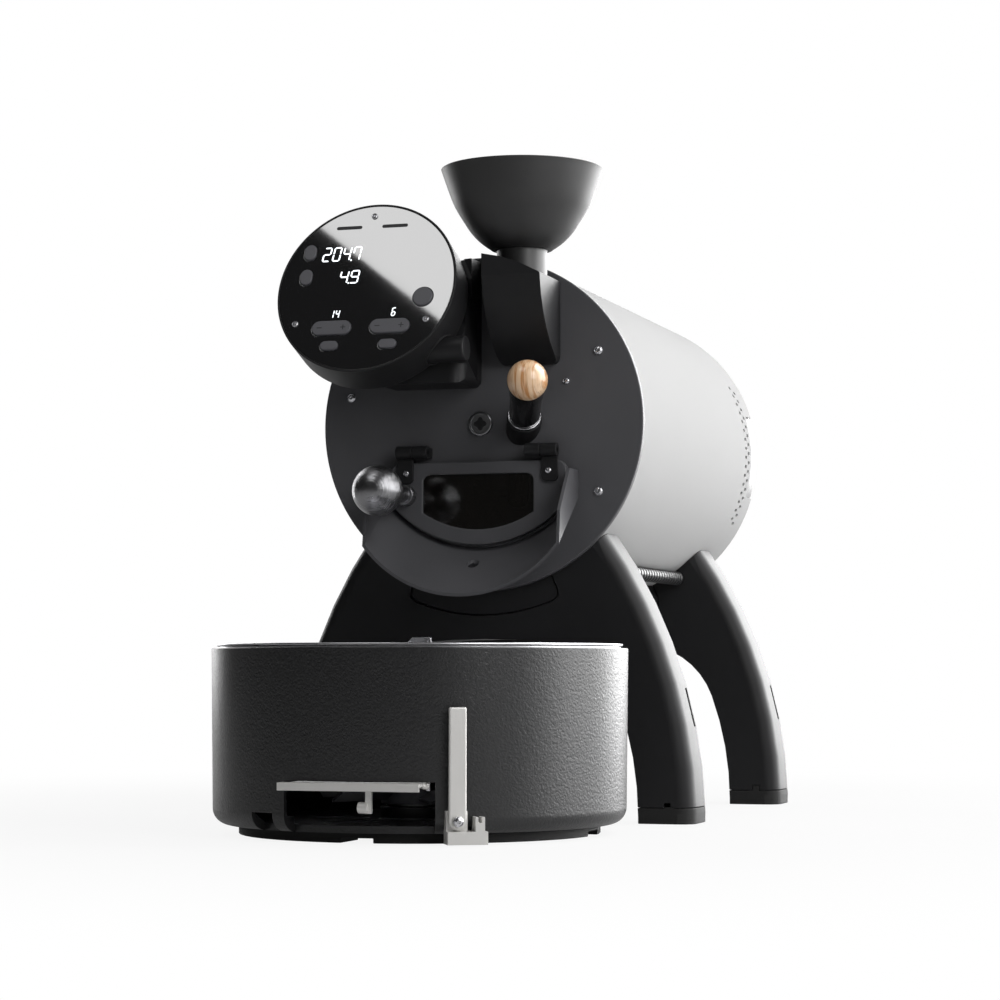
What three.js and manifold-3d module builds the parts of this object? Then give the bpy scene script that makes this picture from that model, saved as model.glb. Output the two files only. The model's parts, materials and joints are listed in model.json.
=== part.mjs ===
// A drum coffee roaster for a counter, with its bean hopper, round control display and cooling tray.
// Millimetres, +X to the right, +Y to the rear, +Z up. The origin is the middle of the footprint.
import * as THREE from "three";
import { mergeVertices } from "three/addons/utils/BufferGeometryUtils.js";
import Module from "manifold-3d";

const wasm = await Module();
wasm.setup();

// Fits and drawing accuracy

const gap = 0.3; // between pieces that touch
const slack = 1; // around what turns or slides free
const facetSag = 0.29; // how far a flat facet may stay inside its curve
const overrun = 6; // how far a cutter runs past what it cuts
const fewestSides = 8; // of any round piece
const sweepSteps = 12; // along the curve of a leg's side
const degree = Math.PI / 180;
const fullTurn = Math.PI * 2;

// Sizes. Heights called rise or drop are measured from the drum's axis, depths from the plate's face.

const axisHeight = 319;
const plate = { radius: 135, thickness: 6, edge: 1 };
const mouth = { radius: 91, halfWidth: 60, drop: 36, corner: 8 };
const shell = { radius: 133.8, wall: 1.5, length: 421.7 };
const vents = { count: 16, step: 3.6, staggerShare: 0.25, length: 8, width: 3, rowPitch: 11, fromRear: 40 };
const rearNotch = { halfWidth: 38, depth: 24 };
const rearCover = { wall: 2, rimDepth: 26, standOut: 2 };
const exhaust = { rise: 65, stubRadius: 12, holes: 6, holeRadius: 6.5, ringRadius: 22 };
const bulkhead = { toShellEnd: 98, thickness: 6, holes: 4, holeRadius: 12, ringRadius: 62 };
const jacket = { innerRadius: 112, outerRadius: 124 };
const heater = { innerRadius: 104, from: 40, toBulkhead: 30 };
const drum = { radius: 98, wall: 1.5, from: 12, toBulkhead: 30, hubRadius: 15, hubLength: 16 };
const vanes = { count: 4, reach: 15, thickness: 2, endMargin: 8 };
const shaft = { radius: 6, length: 76 };
const bearing = { radius: 13.7, standOut: 1 };
const drumPulley = { radius: 42, fromBulkhead: 8, width: 12 };
const motorPulley = { radius: 12, right: -62, rise: -58, shaftRadius: 4, shaftLength: 24 };
const belt = { thickness: 2.5, width: 10 };
const drumMotor = { radius: 22, fromPulley: 6 };
const exhaustFan = { radius: 45, fromBulkhead: 30, depth: 32, cap: 2, hubWall: 3, disc: 1.6 };
const exhaustBlades = { count: 6, foot: 5 };
const inlet = { right: 45, rise: -95, width: 30, height: 22, depth: 22, wall: 3, recess: 15 };
const inletFlange = { overhang: 3, thickness: 1.5 };
const collector = { radius: 62, rise: 45, depth: 66, wall: 2, edge: 8, knobRadius: 10, knobLength: 12 };
const collectorSlots = { count: 8, width: 8, length: 26, fromRear: 14 };

const duct = { radius: 154, wall: 2, halfAngle: 25, front: 8, insideRearLeg: 2, corner: 8 };
const loom = { angle: 35, fromShell: 0.9, radius: 6.2, groove: 1.3, boreRadius: 3.2, pitch: 15 };
const board = { halfWidth: 35, front: 110, length: 150, thickness: 1.6 };
const boardParts = [
  { frontShare: 0.08, lengthShare: 0.3, widthShare: 0.5, height: 7 },
  { frontShare: 0.5, lengthShare: 0.16, widthShare: 0.7, height: 5 },
  { frontShare: 0.74, lengthShare: 0.2, widthShare: 0.4, height: 8 },
];

const leg = { halfWidth: 173, sweepRadius: 401, thickness: 54, edge: 13, rearOverhang: 43 };
const arch = { legWidth: 45, springHeight: 5, sideRadius: 270, sideAngle: 20 };
const archShoulder = { radius: 70, angle: 84 };
const legSlot = { bottom: 76, height: 30, width: 4, fromFront: 36, depth: 12 };
const foot = { height: 12.5, tongueWidth: 6, tongueRise: 4.5, tongueDepth: 3, tongueInset: 21 };

const chute = { left: 19, right: 67, depth: 58.5, topRadius: 131, noseRise: 112 };
const chuteKnee = { depth: 54.5, rise: 95.6 };
const chuteToe = { depth: 5, cover: 2.8 };
const chuteBend = { radius: 91, corner: 6, edge: 3 };
const chutePath = { right: 43, depth: 27, radius: 15, bendRise: 97, slope: 45 };
const hopper = { neckRadius: 20, neckBore: 17.5, neckBottom: 108, shoulder: 135, wall: 2.5 };
const bowl = { radius: 64.5, footRadius: 24, height: 65, lip: 1 };
// Each pair is a share of the way from the foot's radius to the rim's, and of the bowl's height.
const bowlShares = [
  [0, 0],
  [0.222, 0.1],
  [0.4, 0.215],
  [0.565, 0.368],
  [0.738, 0.554],
  [0.886, 0.792],
  [1, 1],
];

const display = { right: -73.5, depth: 69, rise: 105.3, radius: 75, tilt: 20.5, thickness: 34 };
const can = { wall: 2, backWall: 3, backEdge: 3, rim: 1.6, rimEdge: 0.6, recess: 3, ledge: 3.4 };
const displayBoard = { front: 5.4, thickness: 1.6 };
const button = { standOut: 1.3, foot: 4.4, gapRound: 0.4 };
// Places on the glass, right and up from its middle, with each button's width and height.
const buttons = {
  start_button: { right: 49, up: -11, width: 16.5, height: 16.5 },
  upper_side_button: { right: -51.7, up: 33, width: 10, height: 14 },
  lower_side_button: { right: -52.3, up: 10.7, width: 10, height: 14 },
  left_rocker: { right: -24.4, up: -35.8, width: 33, height: 12.5 },
  right_rocker: { right: 24.4, up: -35.8, width: 33, height: 12.5 },
  left_small_button: { right: -24.4, up: -51.5, width: 15, height: 8 },
  right_small_button: { right: 24.4, up: -51.5, width: 15, height: 8 },
};
const arm = { depth: 61, rise: 54, radius: 10.3, left: -40, right: 8, edge: 2 };
const bracket = { left: -78, right: 0.5, depth: 50, bottom: 29, top: 95, edge: 12, corner: 6, clear: 3 };
const bracketHead = { left: -30, depth: 26 };
const saddle = { width: 5, halfHeight: 9, reach: 57 };

const trier = { right: 36, rise: -2.5, aim: [0.306, -0.848, 0.432] };
const trierCollar = { radius: 14, length: 14 };
const trierTube = { radius: 9, wall: 1.6, reach: 120 };
const trierMouth = { length: 84, fromTip: 6, plug: 4 };
const trierGrip = { radius: 13, from: 15, to: 50, edge: 1.5 };
const trierHandle = { radius: 13.6, knobRadius: 16, knobCentre: 70 };
const bezel = { radius: 9.8, standOut: 3, edge: 1.2, stemRadius: 4.7, stemLength: 5 };
const bezelRing = { radius: 7.6, depth: 0.8 };

const hinge = { depth: 12, rise: -23, barrelRadius: 5.5, pinRadius: 2, inner: 41, split: 54, outer: 67.6 };
const hingeLeaf = { thickness: 2, bottom: 25, corner: 3 };
const hingeLug = { halfHeight: 4.4 };
const door = { front: 9, back: 3, halfWidth: 74, top: -31, corner: 8, radius: 98 };
const doorWindow = { halfWidth: 46.5, top: -41, radius: 85.4, corner: 6 };
const doorGlass = { rebate: 3.5, thickness: 3, front: 7 };
const knob = { left: -60, drop: 57.5, depth: 78, radius: 20, stemRadius: 5 };
const knobCollar = { radius: 8, length: 9 };
const trough = { innerHalfWidth: 79, innerRadius: 99.5, wall: 2.5, depth: 55, fall: 0.7 };
const troughSide = { top: -39, shoulder: 24, noseDepth: 51.5, noseRise: -73.5, lipRise: -104 };
const troughHole = { depth: 20, radius: 4.75 };

const tray = { fromPlate: 147, radius: 156, bottomRadius: 154.5, top: 137.3, wall: 3, fillet: 12 };
const trayFloor = { bottom: 7.3, thickness: 3, bossRadius: 30, boss: 20 };
const trayVents = { count: 6, from: 42, to: 88, width: 16 };
const trayBase = { radius: 135, innerRadius: 100, height: 7, notches: 4, notchWidth: 24, notchHeight: 3.5 };
const trayRests = { count: 6, reach: 7, width: 14, thickness: 4 };
const exit = { left: -19, right: 23.2 };
const socket = { left: -31.5, right: -23.2, bottom: 6, top: 20.4 };
const socketBlock = { width: 9, top: 17 };
const liner = { radius: 150.5, wall: 1.2, floor: 43.3, floorThickness: 1.5, top: 140.6 };
const linerBead = { radius: 152, height: 2 };
const linerSlots = { rings: [50, 100], count: 10, length: 38, width: 5 };
const linerHole = { left: -44, right: 54, inner: 129, shaftRadius: 6 };
const trayMotor = { radius: 25, bore: 15, shaftRadius: 4 };
const fan = { radius: 80, from: 22, height: 14, hubWall: 4, blades: 6, bladeThickness: 2, pitch: 30 };
const stirrer = { hubRadius: 12, hubTop: 76, armReach: 142, armHeight: 22, armThickness: 3, arms: 3 };
const stirrerFin = { length: 62, low: 16, top: 145.5, flat: 14, thickness: 3 };

const flap = { hingeDepth: 129, thickness: 2.3, lipDepth: 163, lip: 5.5, lipThickness: 1.6 };
const flapWings = { left: -49, right: 56, inner: 152 };
const flapBarrel = { radius: 2.3, pinRadius: 1.3, left: -40, right: 50, lugWidth: 3, lugHeight: 6.3 };
const flapArm = { left: 15, width: 4, front: 158, depth: 4, bottom: 22 };
const roller = { radius: 4, width: 5.5, height: 26 };
const flapPin = { radius: 2, depth: 145, length: 3 };
const lever = { bearing: 28.4, width: 12.6, thickness: 3, pivotHeight: 17, top: 95.7, out: 8.5 };
const leverPin = { radius: 2.5 };
const leverBase = { left: -7.5, right: 20.8, bottom: 1, top: 10, out: 11, inward: 6 };
const leverBack = { halfWidth: 7.5, top: 24, out: 4.6 };
const leverPost = { left: 12, width: 6.6, top: 20, notchWidth: 2.6, notchDepth: 4 };
const leverHead = { radius: 4, thickness: 2 };

// Finishes

const blackCoat = { color: 0x1c1c1e, roughness: 0.55, metalness: 0.3 };
const wrinkleCoat = { color: 0x202022, roughness: 0.5, metalness: 0.3 };
const whiteSatin = { color: 0xeeeeec, roughness: 0.35, metalness: 0.1 };
const brushedSteel = { color: 0xa9a9ad, roughness: 0.3, metalness: 1 };
const darkSteel = { color: 0x4a4a4e, roughness: 0.35, metalness: 1 };
const paleMetal = { color: 0xdcdad6, roughness: 0.35, metalness: 0.6 };
const rubber = { color: 0x161616, roughness: 0.8, metalness: 0 };
const blackPlastic = { color: 0x141415, roughness: 0.4, metalness: 0 };
const greyPlastic = { color: 0x3a3b40, roughness: 0.55, metalness: 0 };
const blackGlass = { color: 0x08080a, roughness: 0.05, metalness: 0 };
const clearGlass = { color: 0x30302e, roughness: 0.05, metalness: 0 };
const turnedWood = { color: 0xc58a55, roughness: 0.5, metalness: 0 };
const mineralWool = { color: 0xcfc8b4, roughness: 0.95, metalness: 0 };
const circuitGreen = { color: 0x1f5a3a, roughness: 0.5, metalness: 0 };

// Outlines and solids

function arcSteps(radius, angle) {
  const sagShare = Math.min(1, facetSag / radius);
  const step = 2 * Math.acos(1 - sagShare);
  const fewest = (fewestSides * Math.abs(angle)) / fullTurn;
  const steps = Math.max(1, Math.ceil(Math.max(fewest, Math.abs(angle) / step) - 1e-9));
  // A full circle has a point on each of the four axes.
  return Math.abs(angle) < fullTurn ? steps : 4 * Math.ceil(steps / 4);
}

function arc(x, y, radius, from, to) {
  const steps = arcSteps(radius, to - from);
  return Array.from({ length: steps + 1 }, (_, i) => {
    const angle = from + ((to - from) * i) / steps;
    return new THREE.Vector2(x + radius * Math.cos(angle), y + radius * Math.sin(angle));
  });
}

// The arc bulges to the left of the way from one point to the other.
function arcBetween(from, to, radius) {
  const way = to.clone().sub(from);
  const toCentre = Math.sqrt(radius ** 2 - (way.length() / 2) ** 2);
  const across = new THREE.Vector2(way.y, -way.x).setLength(toCentre);
  const centre = from.clone().add(to).divideScalar(2).add(across);
  const start = from.clone().sub(centre);
  const end = to.clone().sub(centre);
  return arc(centre.x, centre.y, radius, Math.atan2(start.y, start.x), Math.atan2(end.y, end.x));
}

function circle(x, y, radius) {
  return arc(x, y, radius, 0, fullTurn).slice(0, -1);
}

// Corners are [x, y] or [x, y, radius], in order round the outline.
function outline(corners) {
  const points = [];
  corners.forEach(([x, y, radius = 0], i) => {
    const here = new THREE.Vector2(x, y);
    if (radius === 0) {
      points.push(here);
      return;
    }
    const before = new THREE.Vector2(...corners.at(i - 1).slice(0, 2)).sub(here).normalize();
    const after = new THREE.Vector2(...corners[(i + 1) % corners.length].slice(0, 2)).sub(here).normalize();
    const half = Math.acos(before.dot(after)) / 2;
    const middle = before.clone().add(after).normalize().multiplyScalar(radius / Math.sin(half)).add(here);
    const first = before.clone().multiplyScalar(radius / Math.tan(half)).add(here).sub(middle).angle();
    const last = after.clone().multiplyScalar(radius / Math.tan(half)).add(here).sub(middle).angle();
    let swing = last - first;
    if (swing > Math.PI) swing -= fullTurn;
    if (swing < -Math.PI) swing += fullTurn;
    points.push(...arc(middle.x, middle.y, radius, first, first + swing));
  });
  return points;
}

function rectangle(left, right, bottom, top, corner = 0) {
  return outline([
    [left, bottom, corner],
    [right, bottom, corner],
    [right, top, corner],
    [left, top, corner],
  ]);
}

// A closed geometry as a solid, without the slivers that a shared pole leaves.
function solid(geometry) {
  const bare = geometry.clone();
  bare.deleteAttribute("normal");
  bare.deleteAttribute("uv");
  const merged = mergeVertices(bare, 1e-4);
  const vertProperties = merged.attributes.position.array;
  const triangles = [];
  for (let i = 0; i < merged.index.count; i += 3) {
    const [a, b, c] = [merged.index.getX(i), merged.index.getX(i + 1), merged.index.getX(i + 2)];
    if (a !== b && b !== c && c !== a) triangles.push(a, b, c);
  }
  const build = () => {
    const triVerts = new Uint32Array(triangles);
    return new wasm.Manifold(new wasm.Mesh({ numProp: 3, vertProperties, triVerts }));
  };
  const made = build();
  if (made.volume() > 0) return made;
  triangles.reverse();
  return build();
}

function toGeometry(body) {
  const mesh = body.getMesh();
  const geometry = new THREE.BufferGeometry();
  geometry.setAttribute("position", new THREE.BufferAttribute(new Float32Array(mesh.vertProperties), 3));
  geometry.setIndex(new THREE.BufferAttribute(new Uint32Array(mesh.triVerts), 1));
  geometry.computeVertexNormals();
  return geometry;
}

function moved(body, x, y, z) {
  return body.translate([x, y, z]);
}

function placed(body, matrix) {
  return body.transform(matrix.toArray());
}

function joined(...bodies) {
  return bodies.reduce((whole, body) => whole.add(body));
}

function cut(body, ...cutters) {
  return cutters.reduce((rest, cutter) => rest.subtract(cutter), body);
}

function extrude(points, depth, holes = []) {
  const shape = new THREE.Shape(points);
  shape.holes = holes.map((hole) => new THREE.Path(hole));
  return new THREE.ExtrudeGeometry(shape, { depth, bevelEnabled: false });
}

// The outline is drawn in X and Y.
function upright(points, bottom, top, holes = []) {
  return solid(extrude(points, top - bottom, holes).translate(0, 0, bottom));
}

// The outline is drawn in X and Z.
function frontToBack(points, front, back, holes = []) {
  return solid(extrude(points, back - front, holes).rotateX(Math.PI / 2).translate(0, back, 0));
}

// The outline is drawn in Y and Z.
function leftToRight(points, left, right, holes = []) {
  const axes = new THREE.Matrix4().makeBasis(
    new THREE.Vector3(0, 1, 0),
    new THREE.Vector3(0, 0, 1),
    new THREE.Vector3(1, 0, 0),
  );
  return solid(extrude(points, right - left, holes).applyMatrix4(axes).translate(left, 0, 0));
}

// A profile of [radius, distance] pairs, turned about the Y axis.
function turnedY(profile) {
  const points = profile.map(([radius, along]) => new THREE.Vector2(Math.max(0, radius), along));
  const widest = Math.max(...profile.map(([radius]) => radius));
  return new THREE.LatheGeometry(points, arcSteps(widest, fullTurn));
}

function latheY(profile) {
  return solid(turnedY(profile));
}

function latheZ(profile) {
  return solid(turnedY(profile).rotateX(Math.PI / 2));
}

function rodX(radius, left, right) {
  return leftToRight(circle(0, 0, radius), left, right);
}

function rodY(radius, front, back) {
  return frontToBack(circle(0, 0, radius), front, back);
}

function rodZ(radius, bottom, top) {
  return upright(circle(0, 0, radius), bottom, top);
}

function tubeY(outer, inner, front, back) {
  return latheY([
    [inner, front],
    [outer, front],
    [outer, back],
    [inner, back],
    [inner, front],
  ]);
}

function block(left, right, front, back, bottom, top) {
  return upright(rectangle(left, right, front, back), bottom, top);
}

// Copies set evenly round the Y or the Z axis.
function ringOf(count, axis, body) {
  return Array.from({ length: count }, (_, i) => {
    const turn = (360 * i) / count;
    return body.rotate(axis === "y" ? [0, turn, 0] : [0, 0, turn]);
  });
}

function piece(parent, name, body, finish) {
  const mesh = new THREE.Mesh(toGeometry(body), new THREE.MeshStandardMaterial(finish));
  mesh.name = name;
  parent.add(mesh);
  return mesh;
}

function group(parent, x, y, z) {
  const made = new THREE.Group();
  made.position.set(x, y, z);
  parent.add(made);
  return made;
}

// Groups: the head has its origin on the drum's axis in the plate's face, and the cooler stands before it.

const machine = new THREE.Group();
const head = group(machine, 0, 0, axisHeight);
const stand = group(machine, 0, 0, 0);
const cooler = group(machine, 0, -tray.fromPlate, 0);

const displayGroup = group(head, display.right, -display.depth, display.rise);
displayGroup.rotation.x = Math.PI / 2 - display.tilt * degree;
const trierGroup = group(head, trier.right, 0, trier.rise);
const trierAxis = new THREE.Vector3(...trier.aim).normalize();
trierGroup.quaternion.setFromUnitVectors(new THREE.Vector3(0, 0, 1), trierAxis);
displayGroup.updateMatrix();
trierGroup.updateMatrix();
const leverGroup = group(
  cooler,
  tray.radius * Math.sin(lever.bearing * degree),
  -tray.radius * Math.cos(lever.bearing * degree),
  0,
);
leverGroup.rotation.z = lever.bearing * degree;
leverGroup.updateMatrix();

// Values that several pieces share

const shellFront = plate.thickness + gap;
const shellRear = shellFront + shell.length;
const shellBore = shell.radius - shell.wall;
const bulkheadFront = shellRear - bulkhead.toShellEnd;
const bulkheadRear = bulkheadFront + bulkhead.thickness;
const coverInside = shellRear + gap;
const coverOutside = coverInside + rearCover.standOut;
const ductHalfAngle = duct.halfAngle * degree;
const legFront = shellFront;
const rearLegFront = shellRear - leg.rearOverhang - leg.thickness;
const ductRear = rearLegFront + leg.thickness - duct.insideRearLeg;
const archHalfWidth = leg.halfWidth - arch.legWidth;
const drumRear = bulkheadFront - drum.toBulkhead;
const pulleyFront = bulkheadRear + drumPulley.fromBulkhead;
const pulleyBack = pulleyFront + drumPulley.width;
const fanFront = bulkheadRear + exhaustFan.fromBulkhead;
const hingeAxis = { y: -hinge.depth, z: hinge.rise };
const pathSlope = chutePath.slope * degree;
const pathFall = chutePath.depth * Math.tan(pathSlope) + chutePath.radius / Math.cos(pathSlope);
const chuteBottom = chutePath.bendRise - pathFall - chuteToe.cover;
const linerFloorTop = liner.floor + liner.floorThickness;
const flapTop = liner.floor - gap;

// The way of the beans: straight down from the hopper, then back through the plate into the drum.
function chutePassage() {
  const { radius, bendRise } = chutePath;
  const sides = arcSteps(radius, fullTurn);
  const down = rodY(radius, 0, plate.radius).rotate([-chutePath.slope, 0, 0]);
  return joined(
    rodZ(radius, 0, hopper.neckBottom - bendRise + overrun),
    solid(new THREE.SphereGeometry(radius, sides, sides / 2)),
    down,
  ).translate([chutePath.right, -chutePath.depth, bendRise]);
}

// A D shape about the drum's axis: an arc below, straight sides and a flat top.
function doorOutline(halfWidth, top, radius, corner) {
  const sideAngle = Math.acos(halfWidth / radius);
  return [
    ...arc(0, 0, radius, sideAngle - Math.PI, -sideAngle),
    ...outline([
      [halfWidth, top, corner],
      [-halfWidth, top, corner],
      [-halfWidth, -radius],
      [halfWidth, -radius],
    ]).slice(0, -2),
  ];
}

function buildPlate() {
  const disc = latheY([
    [0, 0],
    [plate.radius - plate.edge, 0],
    [plate.radius, plate.edge],
    [plate.radius, plate.thickness],
    [0, plate.thickness],
  ]);
  const mouthOutline = doorOutline(mouth.halfWidth, -mouth.drop, mouth.radius, mouth.corner);
  const trierBore = placed(rodZ(trierTube.radius + gap, -plate.radius, plate.radius), trierGroup.matrix);
  const body = cut(
    disc,
    frontToBack(mouthOutline, -overrun, plate.thickness + overrun),
    chutePassage(),
    trierBore,
    rodY(bezel.stemRadius + gap, -overrun, plate.thickness + overrun),
  );
  piece(head, "front_plate", body, blackCoat);
}

function buildShell() {
  const skin = tubeY(shell.radius, shellBore, shellFront, shellRear);
  const slot = block(0, shell.radius + overrun, 0, vents.length, -vents.width / 2, vents.width / 2);
  const cutters = [];
  for (const row of [-1, 1]) {
    for (const side of [0, 180]) {
      for (let i = 0; i < vents.count; i += 1) {
        const turn = side + (i - (vents.count - 1) / 2 + row * vents.staggerShare) * vents.step;
        const front = shellRear - vents.fromRear + (row * vents.rowPitch - vents.length) / 2;
        cutters.push(slot.translate([0, front, 0]).rotate([0, turn, 0]));
      }
    }
  }
  const notch = block(
    0,
    shell.radius + overrun,
    shellRear - rearNotch.depth,
    shellRear + overrun,
    -rearNotch.halfWidth,
    rearNotch.halfWidth,
  );
  piece(head, "outer_shell", cut(skin, notch, ...cutters), whiteSatin);
}

function inletCutter(margin) {
  const halfWidth = inlet.width / 2 + margin;
  const halfHeight = inlet.height / 2 + margin;
  const front = coverInside - inlet.depth - margin;
  return block(
    inlet.right - halfWidth,
    inlet.right + halfWidth,
    front,
    coverOutside + overrun,
    inlet.rise - halfHeight,
    inlet.rise + halfHeight,
  );
}

function buildRearCover() {
  const radius = shellBore - gap;
  const rimFront = coverInside - rearCover.rimDepth;
  const cap = latheY([
    [0, coverInside],
    [radius - rearCover.wall, coverInside],
    [radius - rearCover.wall, rimFront],
    [radius, rimFront],
    [radius, coverInside],
    [radius, coverOutside],
    [0, coverOutside],
  ]);
  const stub = rodY(exhaust.stubRadius, fanFront + exhaustFan.cap + slack, coverOutside);
  const hole = rodY(exhaust.holeRadius, coverInside - slack, coverOutside + overrun);
  const ring = ringOf(exhaust.holes, "y", moved(hole, exhaust.ringRadius, 0, 0));
  const holes = ring.map((one) => moved(one, 0, 0, exhaust.rise));
  const body = cut(joined(cap, moved(stub, 0, 0, exhaust.rise)), ...holes, inletCutter(gap));
  piece(head, "rear_cover", body, blackPlastic);
}

function buildInlet() {
  const front = coverInside - inlet.depth;
  const back = coverOutside + gap;
  const halfWidth = inlet.width / 2;
  const halfHeight = inlet.height / 2;
  const housing = block(-halfWidth, halfWidth, front, back + inletFlange.thickness, -halfHeight, halfHeight);
  const flange = block(
    -halfWidth - inletFlange.overhang,
    halfWidth + inletFlange.overhang,
    back,
    back + inletFlange.thickness,
    -halfHeight - inletFlange.overhang,
    halfHeight + inletFlange.overhang,
  );
  const recess = block(
    inlet.wall - halfWidth,
    halfWidth - inlet.wall,
    back + inletFlange.thickness - inlet.recess,
    back + overrun,
    inlet.wall - halfHeight,
    halfHeight - inlet.wall,
  );
  const body = moved(cut(joined(housing, flange), recess), inlet.right, 0, inlet.rise);
  piece(head, "mains_inlet", body, blackPlastic);
}

function buildChaffCollector() {
  const front = coverOutside + gap;
  const rear = front + collector.depth;
  const bend = { radius: collector.radius - collector.edge, along: rear - collector.edge };
  const cup = latheY([
    [collector.radius - collector.wall, front],
    [collector.radius, front],
    [collector.radius, bend.along],
    [bend.radius, rear],
    [collector.knobRadius, rear],
    [collector.knobRadius, rear + collector.knobLength],
    [0, rear + collector.knobLength],
    [0, rear - collector.wall],
    [bend.radius, rear - collector.wall],
    [collector.radius - collector.wall, bend.along],
    [collector.radius - collector.wall, front],
  ]);
  const slotBack = rear - collectorSlots.fromRear;
  const slot = block(
    collector.radius / 2,
    collector.radius + overrun,
    slotBack - collectorSlots.length,
    slotBack,
    -collectorSlots.width / 2,
    collectorSlots.width / 2,
  );
  const body = cut(cup, ...ringOf(collectorSlots.count, "y", slot));
  piece(head, "chaff_collector", moved(body, 0, 0, collector.rise), brushedSteel);
}

function buildRoastingChamber() {
  const jacketBody = tubeY(jacket.outerRadius, jacket.innerRadius, shellFront, bulkheadFront - gap);
  piece(head, "insulation_jacket", jacketBody, mineralWool);
  const heaterRear = bulkheadFront - heater.toBulkhead;
  const heaterBody = tubeY(jacket.innerRadius - gap, heater.innerRadius, heater.from, heaterRear);
  piece(head, "heater_ring", heaterBody, darkSteel);

  const wallDisc = tubeY(shellBore - gap, bearing.radius + gap, bulkheadFront, bulkheadRear);
  const airHole = rodY(bulkhead.holeRadius, bulkheadFront - slack, bulkheadRear + slack);
  const airHoles = ringOf(bulkhead.holes, "y", moved(airHole, bulkhead.ringRadius, 0, 0));
  piece(head, "rear_bulkhead", cut(wallDisc, ...airHoles), darkSteel);
  const bearingBody = tubeY(
    bearing.radius,
    shaft.radius + gap,
    bulkheadFront - bearing.standOut,
    bulkheadRear + bearing.standOut,
  );
  piece(head, "rear_bearing", bearingBody, brushedSteel);

  const innerRadius = drum.radius - drum.wall;
  const barrel = latheY([
    [innerRadius, drum.from],
    [drum.radius, drum.from],
    [drum.radius, drumRear],
    [shaft.radius + gap, drumRear],
    [shaft.radius + gap, drumRear - drum.hubLength],
    [drum.hubRadius, drumRear - drum.hubLength],
    [drum.hubRadius, drumRear - drum.wall],
    [innerRadius, drumRear - drum.wall],
    [innerRadius, drum.from],
  ]);
  const vane = block(
    innerRadius - vanes.reach,
    drum.radius - drum.wall / 2,
    drum.from + vanes.endMargin,
    drumRear - drum.wall / 2,
    -vanes.thickness / 2,
    vanes.thickness / 2,
  );
  piece(head, "drum", joined(barrel, ...ringOf(vanes.count, "y", vane)), brushedSteel);
  const shaftFront = drumRear - drum.hubLength;
  piece(head, "drum_shaft", rodY(shaft.radius, shaftFront, shaftFront + shaft.length), brushedSteel);
}

function beltOutline(extra) {
  const across = Math.hypot(motorPulley.right, motorPulley.rise);
  const toMotor = Math.atan2(motorPulley.rise, motorPulley.right);
  const lean = Math.acos((drumPulley.radius - motorPulley.radius) / across);
  return [
    ...arc(0, 0, drumPulley.radius + extra, toMotor + lean, toMotor + fullTurn - lean),
    ...arc(motorPulley.right, motorPulley.rise, motorPulley.radius + extra, toMotor - lean, toMotor + lean),
  ];
}

function buildDrive() {
  const bigPulley = tubeY(drumPulley.radius, shaft.radius + gap, pulleyFront, pulleyBack);
  piece(head, "drum_pulley", bigPulley, darkSteel);
  const beltFront = pulleyFront + (drumPulley.width - belt.width) / 2;
  const beltBack = beltFront + belt.width;
  const loop = frontToBack(beltOutline(gap + belt.thickness), beltFront, beltBack, [beltOutline(gap)]);
  piece(head, "drive_belt", loop, rubber);

  const motorPlace = [motorPulley.right, 0, motorPulley.rise];
  const shaftEnd = pulleyBack + motorPulley.shaftLength;
  const motorFront = pulleyBack + drumMotor.fromPulley;
  const smallPulley = joined(
    rodY(motorPulley.radius, pulleyFront, pulleyBack),
    rodY(motorPulley.shaftRadius, pulleyFront, shaftEnd),
  );
  piece(head, "motor_pulley", smallPulley.translate(motorPlace), brushedSteel);
  const motorBody = cut(
    rodY(drumMotor.radius, motorFront, coverInside - gap),
    rodY(motorPulley.shaftRadius + gap, motorFront - slack, shaftEnd + slack),
  );
  piece(head, "drum_motor", motorBody.translate(motorPlace), darkSteel);
}

function buildExhaustFan() {
  const back = fanFront + exhaustFan.depth;
  const hubInner = exhaust.stubRadius + gap;
  const hubOuter = hubInner + exhaustFan.hubWall;
  const wheel = latheY([
    [0, fanFront],
    [hubOuter, fanFront],
    [hubOuter, back - exhaustFan.disc],
    [exhaustFan.radius, back - exhaustFan.disc],
    [exhaustFan.radius, back],
    [hubInner, back],
    [hubInner, fanFront + exhaustFan.cap],
    [0, fanFront + exhaustFan.cap],
  ]);
  const blade = block(
    hubOuter - gap,
    exhaustFan.radius - exhaustFan.disc / 2,
    fanFront + exhaustBlades.foot,
    back - exhaustFan.disc / 2,
    -exhaustFan.disc / 2,
    exhaustFan.disc / 2,
  );
  const body = joined(wheel, ...ringOf(exhaustBlades.count, "y", blade));
  piece(head, "exhaust_fan", moved(body, 0, 0, exhaust.rise), greyPlastic);
}

// A sector of a ring under the shell, drawn in X and Z about the drum's axis.
function underShell(inner, outer, halfAngle, corner) {
  const middle = -Math.PI / 2;
  const from = middle - halfAngle;
  const to = middle + halfAngle;
  const turn = corner / outer;
  const ends = [from, to].map((angle) => {
    const toward = Math.sign(middle - angle) * turn;
    const side = [(outer - corner) * Math.cos(angle), (outer - corner) * Math.sin(angle)];
    const below = [outer * Math.cos(angle + toward), outer * Math.sin(angle + toward)];
    const tip = [outer * Math.cos(angle), outer * Math.sin(angle)];
    const mid = [0, 1].map((i) => (side[i] + below[i]) / 4 + tip[i] / 2);
    return [side, mid].map(([x, z]) => new THREE.Vector2(x, z));
  });
  return [
    ...arc(0, 0, inner, to, from),
    ...ends[0],
    ...arc(0, 0, outer, from + turn, to - turn),
    ...ends[1].reverse(),
  ];
}

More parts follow.
